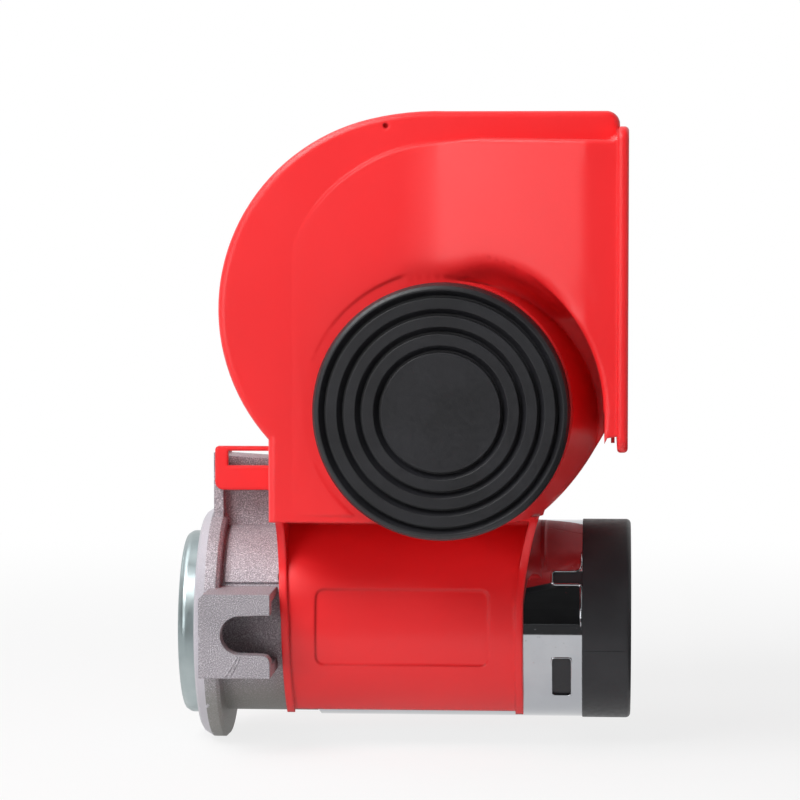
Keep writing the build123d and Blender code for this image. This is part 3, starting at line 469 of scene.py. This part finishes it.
def bead(
    name: str,
    path: Sequence[Vector],
    radius: float,
    closed: bool,
    material: bpy.types.Material,
    sides: int = 12,
) -> bpy.types.Object:
    """Run a round bead along a path, as a closed mesh that rides on the housing.

    Args:
        name: Name of the piece.
        path: Points of its centre line, in metres.
        radius: Radius of the bead, which tapers at open ends.
        closed: Whether the path is a loop.
        material: Finish of the bead.
        sides: Sides of the bead's section.

    Returns:
        The new piece.
    """
    count = len(path)
    work = bmesh.new()
    rings = []
    for index, point in enumerate(path):
        ahead = path[(index + 1) % count] if closed or index < count - 1 else point
        behind = path[index - 1] if closed or index else point
        run = (ahead - behind).normalized()
        across = run.cross(Vector((0.0, 1.0, 0.0)))
        if across.length < NEARLY_ALONG:
            across = run.cross(Vector((1.0, 0.0, 0.0)))
        across.normalize()
        up = run.cross(across)
        from_end = min(index, count - 1 - index)
        end = 1.0 if closed else min(1.0, TIP + (1 - TIP) * from_end / TIP_RINGS)
        ring = []
        for side in range(sides):
            turn = 2 * math.pi * side / sides
            spoke = across * math.cos(turn) + up * math.sin(turn)
            ring.append(work.verts.new(point + spoke * radius * end))
        rings.append(ring)
    pairs = zip(rings, rings[1:] + rings[:1]) if closed else zip(rings, rings[1:])
    for first, second in pairs:
        for side in range(sides):
            after = (side + 1) % sides
            work.faces.new((first[side], first[after], second[after], second[side]))
    if not closed:
        work.faces.new(rings[0])
        work.faces.new(rings[-1])
    bmesh.ops.recalc_face_normals(work, faces=work.faces)
    mesh = bpy.data.meshes.new(name)
    work.to_mesh(mesh)
    work.free()
    mesh.shade_smooth()
    mesh.materials.append(material)
    piece = bpy.data.objects.new(name, mesh)
    bpy.context.scene.collection.objects.link(piece)
    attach(piece, "housing")
    log.info("%s added", name)
    return piece


def eased(points: Sequence[tuple[float, float]], steps: int = 8) -> list[tuple[float, float]]:
    """Carry a smooth curve through a few points in a plane.

    Args:
        points: Points that the curve passes through.
        steps: Parts that each span between two points is divided into.

    Returns:
        Points along the curve.
    """
    ends = [points[0], *points, points[-1]]
    curve = []
    for a, b, c, d in zip(ends, ends[1:], ends[2:], ends[3:]):
        for step in range(steps):
            t = step / steps
            weights = (
                -0.5 * t + t * t - 0.5 * t**3,
                1 - 2.5 * t * t + 1.5 * t**3,
                0.5 * t + 2 * t * t - 1.5 * t**3,
                -0.5 * t * t + 0.5 * t**3,
            )
            curve.append(tuple(sum(w * p[i] for w, p in zip(weights, (a, b, c, d))) for i in (0, 1)))
    return [*curve, points[-1]]


@dataclass(frozen=True)
class FlareForm:
    """Rolls the moulded edges of a shell's flare and eases the valley beside its diaphragm cap.

    Heights are measured from the horn's mid-plane out to the shell's outer face. The region's sides are
    left, right, bottom and top, and the new heights fade out towards each of them.
    """

    left: float = 33.0 * MM
    right: float = 75.4 * MM
    bottom: float = 66.0 * MM
    top: float = 101.5 * MM
    fade_left: float = 36.0 * MM
    fade_right: float = 73.0 * MM
    fade_bottom: float = 76.0 * MM
    fade_top: float = 98.0 * MM
    seed: tuple[float, float] = (60.0 * MM, 92.0 * MM)  # a place on the plateau
    outside: float = 200.0 * MM  # far enough out to look at the shell from
    step: float = 0.5 * MM  # spacing of the fine mesh
    cell: float = 0.3 * MM  # spacing of the measured heights
    centre: tuple[float, float] = (43.0 * MM, 48.1 * MM)
    inner: float = 27.0 * MM  # foot of the diaphragm chamber
    foot_fade: float = 0.8 * MM  # width over which the new heights start outside that foot
    foot_ease: float = 3.0 * MM  # width over which the narrowing starts outside that foot
    rim: float = 36.0 * MM  # radius past which the narrowing stops
    rim_ease: float = 6.0 * MM
    ring: float = 38.0 * MM  # radius within which the edges are rolled widely
    ring_ease: float = 5.0 * MM
    valley_start: float = math.radians(96.0)
    valley_full: float = math.radians(48.0)
    start_ease: float = 0.12  # radians over which the narrowing sets in
    plateau_start: float = 42.0 * MM
    plateau_slope: float = 0.161
    narrowing: tuple[float, float] = (3.4 * MM, 1.8 * MM)  # of the valley at its start and further on
    roll: tuple[float, float] = (0.8 * MM, 1.3 * MM)  # widths of the rolled edges, above and near the cap
    last_roll: float = 0.5 * MM
    wall_left: float = 1.8 * MM  # most that an edge is taken down
    weld: float = 0.004 * MM  # distance within which the CAD mesh's points are one
    merge: float = 0.02 * MM  # the same for the fine mesh
    speck: float = 0.0005 * MM  # edges shorter than this are dissolved
    sharp: float = math.radians(28.0)  # angle past which an edge stays sharp
    unsharp_share: float = 0.15  # share of new height past which no edge does

    def reshape(self, node: str, facing: float, material: bpy.types.Material) -> bpy.types.Object:
        """Make the shell's piece with rolled edges, which stands for the CAD node.

        Args:
            node: Name of the CAD node.
            facing: -1 for the shell on the mounting side, 1 for the other.
            material: Finish of the shell.

        Returns:
            The new piece.
        """
        work = bmesh.new()
        work.from_mesh(cad(node).data)
        bmesh.ops.remove_doubles(work, verts=work.verts, dist=self.weld)
        mark = work.faces.layers.int.new("flare_skin")
        work.faces.ensure_lookup_table()
        tree = BVHTree.FromBMesh(work)
        rolled = self.rolled(self.measure(tree, facing))
        self.mark_skin(work, mark, self.seen(tree, facing, *self.seed)[2])
        self.refine(work, mark)
        skin = once(vert for face in work.faces if face[mark] for vert in face.verts)
        for vert in skin:
            share = self.share(vert.co.x, vert.co.z)
            if share > 0:
                target = MID_Y + facing * self.sample(rolled, vert.co.x, vert.co.z)
                vert.co.y += share * (target - vert.co.y)
        bmesh.ops.remove_doubles(work, verts=skin, dist=self.merge)
        bmesh.ops.dissolve_degenerate(work, dist=self.speck, edges=list(work.edges))
        work.faces.layers.int.remove(work.faces.layers.int["flare_skin"])
        mesh = bpy.data.meshes.new(f"{node}_rolled")
        work.to_mesh(mesh)
        work.free()
        self.shade(mesh)
        mesh.materials.clear()
        mesh.materials.append(material)
        piece = bpy.data.objects.new(f"{node}_rolled", mesh)
        bpy.context.scene.collection.objects.link(piece)
        even = piece.modifiers.new("even_normals", "WEIGHTED_NORMAL")
        even.keep_sharp = True
        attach(piece, "housing")
        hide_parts(node)
        log.info("%s stands for %s", piece.name, node)
        return piece

    def shade(self, mesh: bpy.types.Mesh) -> None:
        """Drop the carried-over normals, and keep sharp only the edges that the new heights leave alone."""
        for carried in ("custom_normal", "sharp_edge", "sharp_face"):
            if carried in mesh.attributes:
                mesh.attributes.remove(mesh.attributes[carried])
        mesh.shade_smooth()
        mesh.set_sharp_from_angle(angle=self.sharp)
        for line in mesh.edges:
            place = (mesh.vertices[line.vertices[0]].co + mesh.vertices[line.vertices[1]].co) / 2
            if line.use_edge_sharp and self.share(place.x, place.z) > self.unsharp_share:
                line.use_edge_sharp = False

    def polar(self, x: float, z: float) -> tuple[float, float]:
        """Radius and angle of a place round the diaphragm chamber's axis."""
        dx, dz = x - self.centre[0], z - self.centre[1]
        return math.hypot(dx, dz), math.atan2(dz, dx)

    def measure(self, tree: BVHTree, facing: float) -> np.ndarray:
        """Measure the shell's outer height on a grid, with the valley narrowed towards its start."""
        columns = round((self.right - self.left) / self.cell) + 1
        rows = round((self.top - self.bottom) / self.cell) + 1
        heights = np.zeros((rows, columns))
        for row in range(rows):
            for column in range(columns):
                x, z = self.left + column * self.cell, self.bottom + row * self.cell
                radius, angle = self.polar(x, z)
                shift = self.shift(radius, angle)
                near = max(radius, self.inner) + shift
                px = self.centre[0] + near * math.cos(angle)
                pz = self.centre[1] + near * math.sin(angle)
                found = self.seen(tree, facing, px, pz)
                gained = self.slant(x) - self.slant(px)
                heights[row, column] = abs(found[0].y - MID_Y) + (gained if shift else 0.0)
        return heights

    def shift(self, radius: float, angle: float) -> float:
        """How far out the height for a place is read, which narrows the valley by as much."""
        eased_in = smooth((self.valley_start - angle) / (self.valley_start - self.valley_full))
        shift = self.narrowing[0] + (self.narrowing[1] - self.narrowing[0]) * eased_in
        shift *= smooth((self.valley_start - angle) / self.start_ease)
        shift *= smooth((radius - self.inner) / self.foot_ease)
        return shift * (1 - smooth((radius - self.rim) / self.rim_ease))

    def seen(
        self, tree: BVHTree, facing: float, x: float, z: float
    ) -> tuple[Vector | None, Vector | None, int | None, float | None]:
        """Look square at the shell from outside: place, normal, face and distance of what is met."""
        start = Vector((x, MID_Y + facing * self.outside, z))
        return tree.ray_cast(start, Vector((0.0, -facing, 0.0)))

    def slant(self, x: float) -> float:
        """Height that the slanted plateau has gained at a place along the horn."""
        return max(0.0, x - self.plateau_start) * self.plateau_slope

    def rolled(self, heights: np.ndarray) -> np.ndarray:
        """Smooth the heights, widely near the cap and narrowly above, and keep most of the wall."""
        narrow, wide = (self.blurred(heights, width) for width in self.roll)
        rows, columns = heights.shape
        share = np.zeros_like(heights)
        for row in range(rows):
            for column in range(columns):
                x, z = self.left + column * self.cell, self.bottom + row * self.cell
                share[row, column] = 1 - smooth((self.polar(x, z)[0] - self.ring) / self.ring_ease)
        kept = np.maximum(narrow * (1 - share) + wide * share, heights - self.wall_left)
        return self.blurred(kept, self.last_roll)

    def blurred(self, heights: np.ndarray, width: float) -> np.ndarray:
        """Blur the heights by a bell curve of a width in metres."""
        reach = math.ceil(3 * width / self.cell)
        bell = np.exp(-0.5 * (np.arange(-reach, reach + 1) * self.cell / width) ** 2)
        bell /= bell.sum()
        padded = np.pad(heights, reach, mode="edge")
        across = np.apply_along_axis(np.convolve, 1, padded, bell, "valid")
        return np.apply_along_axis(np.convolve, 0, across, bell, "valid")

    def sample(self, field_of: np.ndarray, x: float, z: float) -> float:
        """Read a height between the grid's places."""
        rows, columns = field_of.shape
        u = min(max((x - self.left) / self.cell, 0.0), columns - 1.001)
        v = min(max((z - self.bottom) / self.cell, 0.0), rows - 1.001)
        i, j = int(v), int(u)
        fv, fu = v - i, u - j
        low = field_of[i, j] * (1 - fu) + field_of[i, j + 1] * fu
        high = field_of[i + 1, j] * (1 - fu) + field_of[i + 1, j + 1] * fu
        return low * (1 - fv) + high * fv

    def share(self, x: float, z: float) -> float:
        """How much of the rolled height a place takes: all of it inside, none at the region's border."""
        share = smooth((x - self.left) / (self.fade_left - self.left))
        share *= smooth((self.right - x) / (self.right - self.fade_right))
        share *= smooth((z - self.bottom) / (self.fade_bottom - self.bottom))
        share *= smooth((self.top - z) / (self.top - self.fade_top))
        return share * smooth((self.polar(x, z)[0] - self.inner) / self.foot_fade)

    def mark_skin(self, work: bmesh.types.BMesh, mark: bmesh.types.BMLayerItem, first: int) -> None:
        """Mark the faces of the flare's outer skin, spreading from a face of the plateau."""
        seed = work.faces[first]
        seed[mark] = 1
        border = [seed]
        while border:
            for line in border.pop().edges:
                for other in line.link_faces:
                    if not other[mark] and self.reaches(other):
                        other[mark] = 1
                        border.append(other)

    def reaches(self, face: bmesh.types.BMFace) -> bool:
        """Whether a face comes into the region and lies outside the diaphragm chamber."""
        xs = [vert.co.x for vert in face.verts]
        zs = [vert.co.z for vert in face.verts]
        centre = face.calc_center_median()
        across = max(xs) > self.left and min(xs) < self.right
        upright = max(zs) > self.bottom and min(zs) < self.top
        return across and upright and self.polar(centre.x, centre.z)[0] > self.inner - self.step

    def refine(self, work: bmesh.types.BMesh, mark: bmesh.types.BMLayerItem) -> None:
        """Cut the marked faces along a fine grid of planes."""
        for axis, low, high in ((0, self.left, self.right), (2, self.bottom, self.top)):
            normal = Vector((1.0, 0.0, 0.0) if axis == 0 else (0.0, 0.0, 1.0))
            for cut in range(round((high - low) / self.step) + 1):
                faces = [face for face in work.faces if face[mark]]
                geometry = once(item for face in faces for item in (*face.verts, *face.edges, face))
                place = normal * (low + cut * self.step)
                bmesh.ops.bisect_plane(work, geom=geometry, plane_co=place, plane_no=normal)
        log.info("%d faces in the flare's skin", sum(1 for face in work.faces if face[mark]))


# ---------------------------------------------------------------- sub-assemblies


@dataclass
class HornBody:
    """The two moulded halves, the wall between them, the ringed caps and the diaphragms under them."""

    shell: MouldedShell = MouldedShell()
    flare: FlareForm = FlareForm()
    cap: Moulded = Moulded("ringed_cap_black")
    rubber: Moulded = Moulded(
        "seal_rubber", linear(34, 34, 34), linear(48, 47, 46), (0.6, 0.75), Grain.ORANGE_PEEL
    )
    spring: Plate = Plate(
        "spring_steel", linear(176, 178, 182), linear(196, 198, 200), (0.29, 0.36), streak=(0.1, 1.0, 1.0)
    )

    def build(self) -> None:
        """Dress the halves, the partition, the caps, the diaphragms and their seals."""
        red = self.shell.make()
        dress(("horn_shell_front", "horn_shell_rear", "horn_partition"), red)
        self.flare.reshape("horn_shell_front", -1.0, red)
        self.flare.reshape("horn_shell_rear", 1.0, red)
        dress(("diaphragm_cap_front", "diaphragm_cap_rear"), self.cap.make())
        dress(("diaphragm_front", "diaphragm_rear"), self.spring.make())
        dress(("diaphragm_seal_front", "diaphragm_seal_rear", "outlet_gasket"), self.rubber.make())


@dataclass
class Pump:
    """Die-cast body with its flow mark, zinc-plated cover, screws, filter and turning vanes."""

    casting: DieCasting = DieCasting()
    zinc: Plate = Plate(
        "zinc_plate",
        linear(146, 158, 160),
        linear(176, 186, 187),
        (0.3, 0.4),
        streak=(1.0, 1.0, 0.2),
    )
    felt: Moulded = Moulded(
        "filter_felt", linear(96, 94, 90), linear(128, 126, 120), (0.85, 0.95), Grain.FINE, 0.2 * MM
    )
    bronze: Plate = Plate("sintered_bronze", linear(150, 112, 66), linear(176, 136, 86), (0.45, 0.6))
    turned: Plate = Plate(
        "turned_aluminium",
        linear(186, 187, 190),
        linear(206, 207, 210),
        (0.3, 0.42),
        streak=(0.1, 1.0, 1.0),
    )
    carbon: Moulded = Moulded("carbon", linear(48, 48, 50), linear(66, 66, 68), (0.4, 0.55))
    mark_radius: float = 0.21 * MM
    mark_sunk: float = 0.06 * MM  # depth of its centre line under the block's flat front
    mark_lines: tuple[tuple[tuple[float, float], ...], ...] = (  # X and Z of its two edges, in millimetres
        ((-0.52, -4.2), (-0.85, -5.2), (-1.87, -6.97), (-2.6, -8.15), (-3.15, -8.8)),
        ((0.12, -4.3), (-0.22, -5.3), (-1.03, -6.97), (-1.62, -7.95), (-2.16, -8.7)),
    )

    def build(self) -> None:
        """Dress the pump's outer pieces and its inner ones, and raise the flow mark."""
        casting = self.casting.make()
        zinc = self.zinc.make()
        dress(("pump_body",), casting)
        dress(("pump_cover", "assembly_screws"), zinc)
        dress(("inlet_filter",), self.felt.make())
        dress(("shaft_bush_pump", "shaft_bush_end"), self.bronze.make())
        dress(("pump_rotor",), self.turned.make())
        blades = tuple(f"pump_vane_{number}" for number in range(1, 5))
        dress((*blades, "brush_upper", "brush_lower"), self.carbon.make())
        dress(("motor_shaft", "thrust_washer", "brush_spring_upper", "brush_spring_lower"), zinc)
        for number, line in enumerate(self.mark_lines, 1):
            path = [Vector((x * MM, self.mark_sunk, z * MM)) for x, z in eased(line)]
            bead(f"flow_mark_{number}", path, self.mark_radius, False, casting)


@dataclass
class Motor:
    """Chromed can with rolled edges, black end cap and the windings and magnets inside."""

    chrome: Plate = Plate(
        "chrome_plate",
        linear(176, 178, 183),
        linear(184, 186, 190),
        (0.03, 0.06),
        pit_depth=0.02 * MM,
    )
    end_cap: Moulded = Moulded(
        "end_cap_black",
        linear(42, 42, 45),
        linear(50, 50, 53),
        (0.4, 0.5),
        Grain.FINE,
        specular=0.3,
    )
    ferrite: Moulded = Moulded("ferrite", linear(58, 58, 62), linear(74, 74, 78), (0.5, 0.65))
    stack: Plate = Plate(
        "lamination_stack",
        linear(128, 128, 132),
        linear(160, 160, 164),
        (0.35, 0.5),
        streak=(9.0, 0.2, 0.2),
    )
    copper: Plate = Plate("enamelled_copper", linear(168, 84, 46), linear(196, 110, 66), (0.3, 0.42))
    brass: Plate = Plate("brass_blade", linear(196, 168, 98), linear(212, 186, 120), (0.3, 0.38))
    can_radius: float = 21.5 * MM
    can_end: float = 71.9 * MM
    opening_start: float = 65.35 * MM
    window_end: float = 69.6 * MM
    notch_angle: float = math.radians(30.5)
    window_angle: float = math.radians(-30.0)
    notch_half: float = 1.55 * MM
    window_half: float = 5.1 * MM
    rolled: float = 0.3 * MM  # radius of the rolled edge
    window_rolled: float = 0.15 * MM
    corner: float = 0.7 * MM
    notch_flare: float = 1.2 * MM  # the notch's upper corner at the can's end is drawn out by this much
    straight: float = 3.0 * MM  # length of a notch's side that the bead follows in one run
    upper_run: tuple[int, float] = (4, 0.9 * MM)  # steps and step length of the edge above the notch
    lower_run: tuple[int, float] = (8, 1.0 * MM)  # the same below it
    parting_radius: float = 21.67 * MM
    parting_depth: float = 0.1 * MM
    parting_angle: float = math.radians(-12.0)
    parting_start: float = 72.2 * MM
    parting_run: tuple[int, float] = (12, 0.8 * MM)  # points of the parting line and their spacing

    def build(self) -> None:
        """Dress the motor's pieces, roll the can's edges and mark the end cap's parting line."""
        chrome = self.chrome.make()
        cap = self.end_cap.make()
        dress(("motor_can",), chrome)
        dress(("motor_end_cap", "brush_plate"), cap)
        dress(("magnet_front", "magnet_rear"), self.ferrite.make())
        dress(("armature_core",), self.stack.make())
        dress(("armature_winding", "commutator"), self.copper.make())
        dress(("terminal_positive", "terminal_negative"), self.brass.make())
        for side, turn in (("front", 0.0), ("rear", math.pi)):
            self.roll_notch(side, turn, chrome)
            self.roll_window(side, turn, chrome)
        self.mark_parting(cap)

    def on_can(self, x: float, angle: float, offset: float) -> Vector:
        """Point on the can's surface, beside an opening's centre line.

        Args:
            x: Place along the motor's axis.
            angle: Opening's angle up from the horizontal on the mounting side, in radians.
            offset: Distance from the opening's centre line, upwards on the mounting side.

        Returns:
            The point in metres.
        """
        out = math.sqrt(self.can_radius**2 - offset**2)
        y = -out * math.cos(angle) + offset * math.sin(angle)
        z = out * math.sin(angle) + offset * math.cos(angle)
        return Vector((x, MID_Y + y, z))

    def roll_notch(self, side: str, turn: float, chrome: bpy.types.Material) -> None:
        """Roll the edge round a notch and along the can's end beside it."""
        start, end, half, r = self.opening_start, self.can_end - self.rolled, self.notch_half, self.corner
        flare, cut, straight = self.notch_flare, r * 0.3, start + self.straight
        above, above_step = self.upper_run
        below, below_step = self.lower_run
        outline = [(end, half + flare + step * above_step) for step in range(above, 0, -1)]
        outline += [(end - r * 0.1, half + flare), (end - r * 0.5, half + flare * 0.4), (end - flare, half)]
        outline += [(straight, half), (start + r, half)]
        outline += [(start + cut, half - cut), (start, half - r), (start, r - half)]
        outline += [(start + cut, cut - half), (start + r, -half), (straight, -half)]
        outline += [(end - r, -half), (end - cut, -half - cut), (end, -half - r)]
        outline += [(end, -half - r - step * below_step) for step in range(1, below + 1)]
        path = [self.on_can(x, self.notch_angle + turn, offset) for x, offset in outline]
        bead(f"can_notch_rim_{side}", path, self.rolled, False, chrome)

    def roll_window(self, side: str, turn: float, chrome: bpy.types.Material) -> None:
        """Roll the edge round a window."""
        start, end, half, r = self.opening_start, self.window_end, self.window_half, self.corner
        outline, turns = [], 4
        for corner_x, corner_offset, first in (
            (end - r, half - r, 0.0),
            (start + r, half - r, 90.0),
            (start + r, r - half, 180.0),
            (end - r, r - half, 270.0),
        ):
            for step in range(turns):
                angle = math.radians(first + 90.0 * step / (turns - 1))
                outline.append((corner_x + r * math.cos(angle), corner_offset + r * math.sin(angle)))
        path = [self.on_can(x, self.window_angle + turn, offset) for x, offset in outline]
        bead(f"can_window_rim_{side}", path, self.window_rolled, True, chrome)

    def mark_parting(self, cap: bpy.types.Material) -> None:
        """Raise the faint parting line along the end cap's two sides."""
        points, spacing = self.parting_run
        for side, angle in (("front", self.parting_angle), ("rear", self.parting_angle + math.pi)):
            y = MID_Y - self.parting_radius * math.cos(angle)
            z = self.parting_radius * math.sin(angle)
            path = [Vector((self.parting_start + spacing * step, y, z)) for step in range(points)]
            bead(f"end_cap_parting_{side}", path, self.parting_depth, False, cap)


# ---------------------------------------------------------------- studio


@dataclass(frozen=True)
class Softbox:
    """A rectangular lamp placed by direction: azimuth from straight in front towards +X, and elevation."""

    name: str
    azimuth: float
    elevation: float
    size: tuple[float, float]
    radiance: float
    distance: float = 1.3

    def hang(self, target: Vector) -> None:
        """Hang the lamp so that it faces a target."""
        turn, tilt = math.radians(self.azimuth), math.radians(self.elevation)
        flat = self.distance * math.cos(tilt)
        offset = Vector((flat * math.sin(turn), -flat * math.cos(turn), self.distance * math.sin(tilt)))
        lamp = bpy.data.lights.new(self.name, "AREA")
        lamp.shape = "RECTANGLE"
        lamp.size, lamp.size_y = self.size
        lamp.energy = math.pi * self.size[0] * self.size[1] * self.radiance
        box = bpy.data.objects.new(self.name, lamp)
        box.location = target + offset
        box.rotation_euler = (-offset).to_track_quat("-Z", "Y").to_euler()
        bpy.context.scene.collection.objects.link(box)
        log.info("%s lamp of %.1f W", self.name, lamp.energy)


@dataclass
class Studio:
    """Pale floor, soft lights and the camera square to the horn's side."""

    camera_at: Vector = field(default_factory=lambda: Vector((75.5, -669.5, 90.9)) * MM)
    looks_at: Vector = field(default_factory=lambda: Vector((31.7, 34.5, 47.67)) * MM)
    lens: float = 145.0
    sensor: float = 36.0
    clip: tuple[float, float] = (0.05, 50.0)  # nearest and furthest distance that the camera sees
    floor_size: float = 8.0
    floor_tone: float = 0.75
    floor_near: float = 0.8  # how white the floor looks under the object
    floor_fade: tuple[float, float] = (0.12, 0.45)  # distances between which it turns wholly white
    ambient: float = 0.2
    card_tone: float = 0.05
    card_radius: float = 1.6
    card_reach: float = 84.0  # degrees that the curved card reaches to either side
    card_steps: int = 24
    card_tilts: tuple[int, ...] = tuple(range(-17, 81, 8))  # elevations of its rows, in degrees
    card_lift: float = 0.5 * MM  # height of the low cards over the floor
    low_cards: dict[str, tuple[float, float, float, float]] = field(  # X from, X to, Y from, Y to
        default_factory=lambda: {
            "card_low_front": (-0.35, 0.6, -1.4, -0.095),
            "card_low_right": (0.1, 0.9, -0.095, 0.5),
        }
    )
    lamps: tuple[Softbox, ...] = (
        Softbox("key", -40.0, 44.0, (0.45, 0.45), 9.5, 0.8),
        Softbox("veil", -31.0, 2.0, (0.56, 0.5), 5.6),
        Softbox("top", -105.0, 60.0, (0.7, 0.7), 2.5),
        Softbox("fill", 50.0, 20.0, (0.5, 0.5), 1.0),
    )

    def build(self) -> None:
        """Make the floor, the world, the lights and the camera."""
        self.add_floor()
        self.add_world()
        for lamp in self.lamps:
            lamp.hang(self.looks_at)
        self.add_dark_cards()
        self.add_camera()
        bpy.context.scene.view_settings.view_transform = "Standard"

    def seen_share(self, tree: bpy.types.NodeTree) -> Socket:
        """Share that is 1 where a camera, mirror or glass ray looks at a surface, and 0 for light."""
        path = tree.nodes.new("ShaderNodeLightPath")
        share = path.outputs["Is Camera Ray"]
        for ray in ("Is Glossy Ray", "Is Transmission Ray"):
            either = tree.nodes.new("ShaderNodeMath")
            either.operation = "MAXIMUM"
            tree.links.new(share, either.inputs[0])
            tree.links.new(path.outputs[ray], either.inputs[1])
            share = either.outputs["Value"]
        return share

    def add_floor(self) -> None:
        """Lay a pale floor at the height of the object's lowest point, which fades to white away from it."""
        half = self.floor_size / 2
        mesh = bpy.data.meshes.new("floor")
        corners = [(-half, -half, 0.0), (half, -half, 0.0), (half, half, 0.0), (-half, half, 0.0)]
        mesh.from_pydata(corners, [], [(0, 1, 2, 3)])
        floor = bpy.data.objects.new("floor", mesh)
        floor.location = (self.looks_at.x, self.looks_at.y, cad_box[0].z)
        bpy.context.scene.collection.objects.link(floor)
        sheet = NodeSheet("floor_pale")
        tone = self.floor_tone
        sheet.set(Base_Color=(tone, tone, tone, 1.0), Roughness=0.9, Specular_IOR_Level=0.1)
        glow = sheet.node("ShaderNodeEmission")
        glow.inputs["Strength"].default_value = 1.0
        distance = sheet.node("ShaderNodeVectorMath", operation="LENGTH")
        sheet.link(sheet.place, distance.inputs[0])
        reach = sheet.span(distance.outputs["Value"], self.floor_near, 1.0, *self.floor_fade)
        share = sheet.math("MULTIPLY", self.seen_share(sheet.tree), reach)
        mix = sheet.node("ShaderNodeMixShader")
        sheet.link(share, mix.inputs["Fac"])
        sheet.link(sheet.shader.outputs["BSDF"], mix.inputs[1])
        sheet.link(glow.outputs["Emission"], mix.inputs[2])
        sheet.link(mix.outputs["Shader"], sheet.tree.nodes["Material Output"].inputs["Surface"])
        mesh.materials.append(sheet.material)

    def add_world(self) -> None:
        """Light the scene evenly, and show white where the camera or a shiny surface sees past it."""
        world = bpy.data.worlds.new("studio")
        world.use_nodes = True
        tree = world.node_tree
        plain = tree.nodes["Background"]
        plain.inputs["Color"].default_value = (1.0, 1.0, 1.0, 1.0)
        plain.inputs["Strength"].default_value = self.ambient
        white = tree.nodes.new("ShaderNodeBackground")
        white.inputs["Color"].default_value = (1.0, 1.0, 1.0, 1.0)
        mix = tree.nodes.new("ShaderNodeMixShader")
        tree.links.new(self.seen_share(tree), mix.inputs["Fac"])
        tree.links.new(plain.outputs["Background"], mix.inputs[1])
        tree.links.new(white.outputs["Background"], mix.inputs[2])
        tree.links.new(mix.outputs["Shader"], tree.nodes["World Output"].inputs["Surface"])
        bpy.context.scene.world = world

    def add_dark_cards(self) -> None:
        """Stand dark cards round the set, which give polished metal and gloss their dark bands."""
        sheet = NodeSheet("card_dark")
        tone = self.card_tone
        sheet.set(Base_Color=(tone, tone, tone, 1.0), Roughness=1.0, Specular_IOR_Level=0.0)
        radius, steps = self.card_radius, self.card_steps
        verts, faces = [], []
        for row, tilt in enumerate(math.radians(tilt) for tilt in self.card_tilts):
            for step in range(steps + 1):
                turn = math.radians(self.card_reach * (2 * step / steps - 1))
                flat = radius * math.cos(tilt)
                place = Vector((flat * math.sin(turn), -flat * math.cos(turn), radius * math.sin(tilt)))
                verts.append(self.looks_at + place)
                if row and step:
                    here = row * (steps + 1) + step
                    faces.append((here, here - 1, here - steps - 2, here - steps - 1))
        self.add_card("card_curved", verts, faces, sheet.material)
        level = cad_box[0].z + self.card_lift
        for name, (x0, x1, y0, y1) in self.low_cards.items():
            corners = [(x0, y0, level), (x1, y0, level), (x1, y1, level), (x0, y1, level)]
            self.add_card(name, corners, [(0, 1, 2, 3)], sheet.material)

    def add_card(
        self,
        name: str,
        verts: Sequence[Sequence[float]],
        faces: Sequence[Sequence[int]],
        material: bpy.types.Material,
    ) -> None:
        """Add a dark card that only mirrors and gloss see.

        Args:
            name: Name of the card.
            verts: Its corners in metres.
            faces: Its faces as lists of corners.
            material: Its finish.
        """
        mesh = bpy.data.meshes.new(name)
        mesh.from_pydata([tuple(v) for v in verts], [], faces)
        mesh.materials.append(material)
        card = bpy.data.objects.new(name, mesh)
        card.visible_camera = False
        card.visible_diffuse = False
        card.visible_shadow = False
        bpy.context.scene.collection.objects.link(card)

    def add_camera(self) -> None:
        """Set the camera in front of the horn's side, a little to the mouths' side and above."""
        lens = bpy.data.cameras.new("camera")
        lens.lens = self.lens
        lens.sensor_width = self.sensor
        lens.clip_start, lens.clip_end = self.clip
        camera = bpy.data.objects.new("camera", lens)
        camera.location = self.camera_at
        aim = self.looks_at - self.camera_at
        camera.rotation_euler = aim.to_track_quat("-Z", "Y").to_euler()
        bpy.context.scene.collection.objects.link(camera)
        bpy.context.scene.camera = camera


def main() -> None:
    """Build and dress the sub-assemblies in order, then the studio round them."""
    logging.basicConfig(level=logging.INFO, format="%(message)s")
    for assembly in (HornBody(), Pump(), Motor()):
        assembly.build()
        log.info("%s done", type(assembly).__name__)
    Studio().build()


if __name__ == "__main__":
    main()
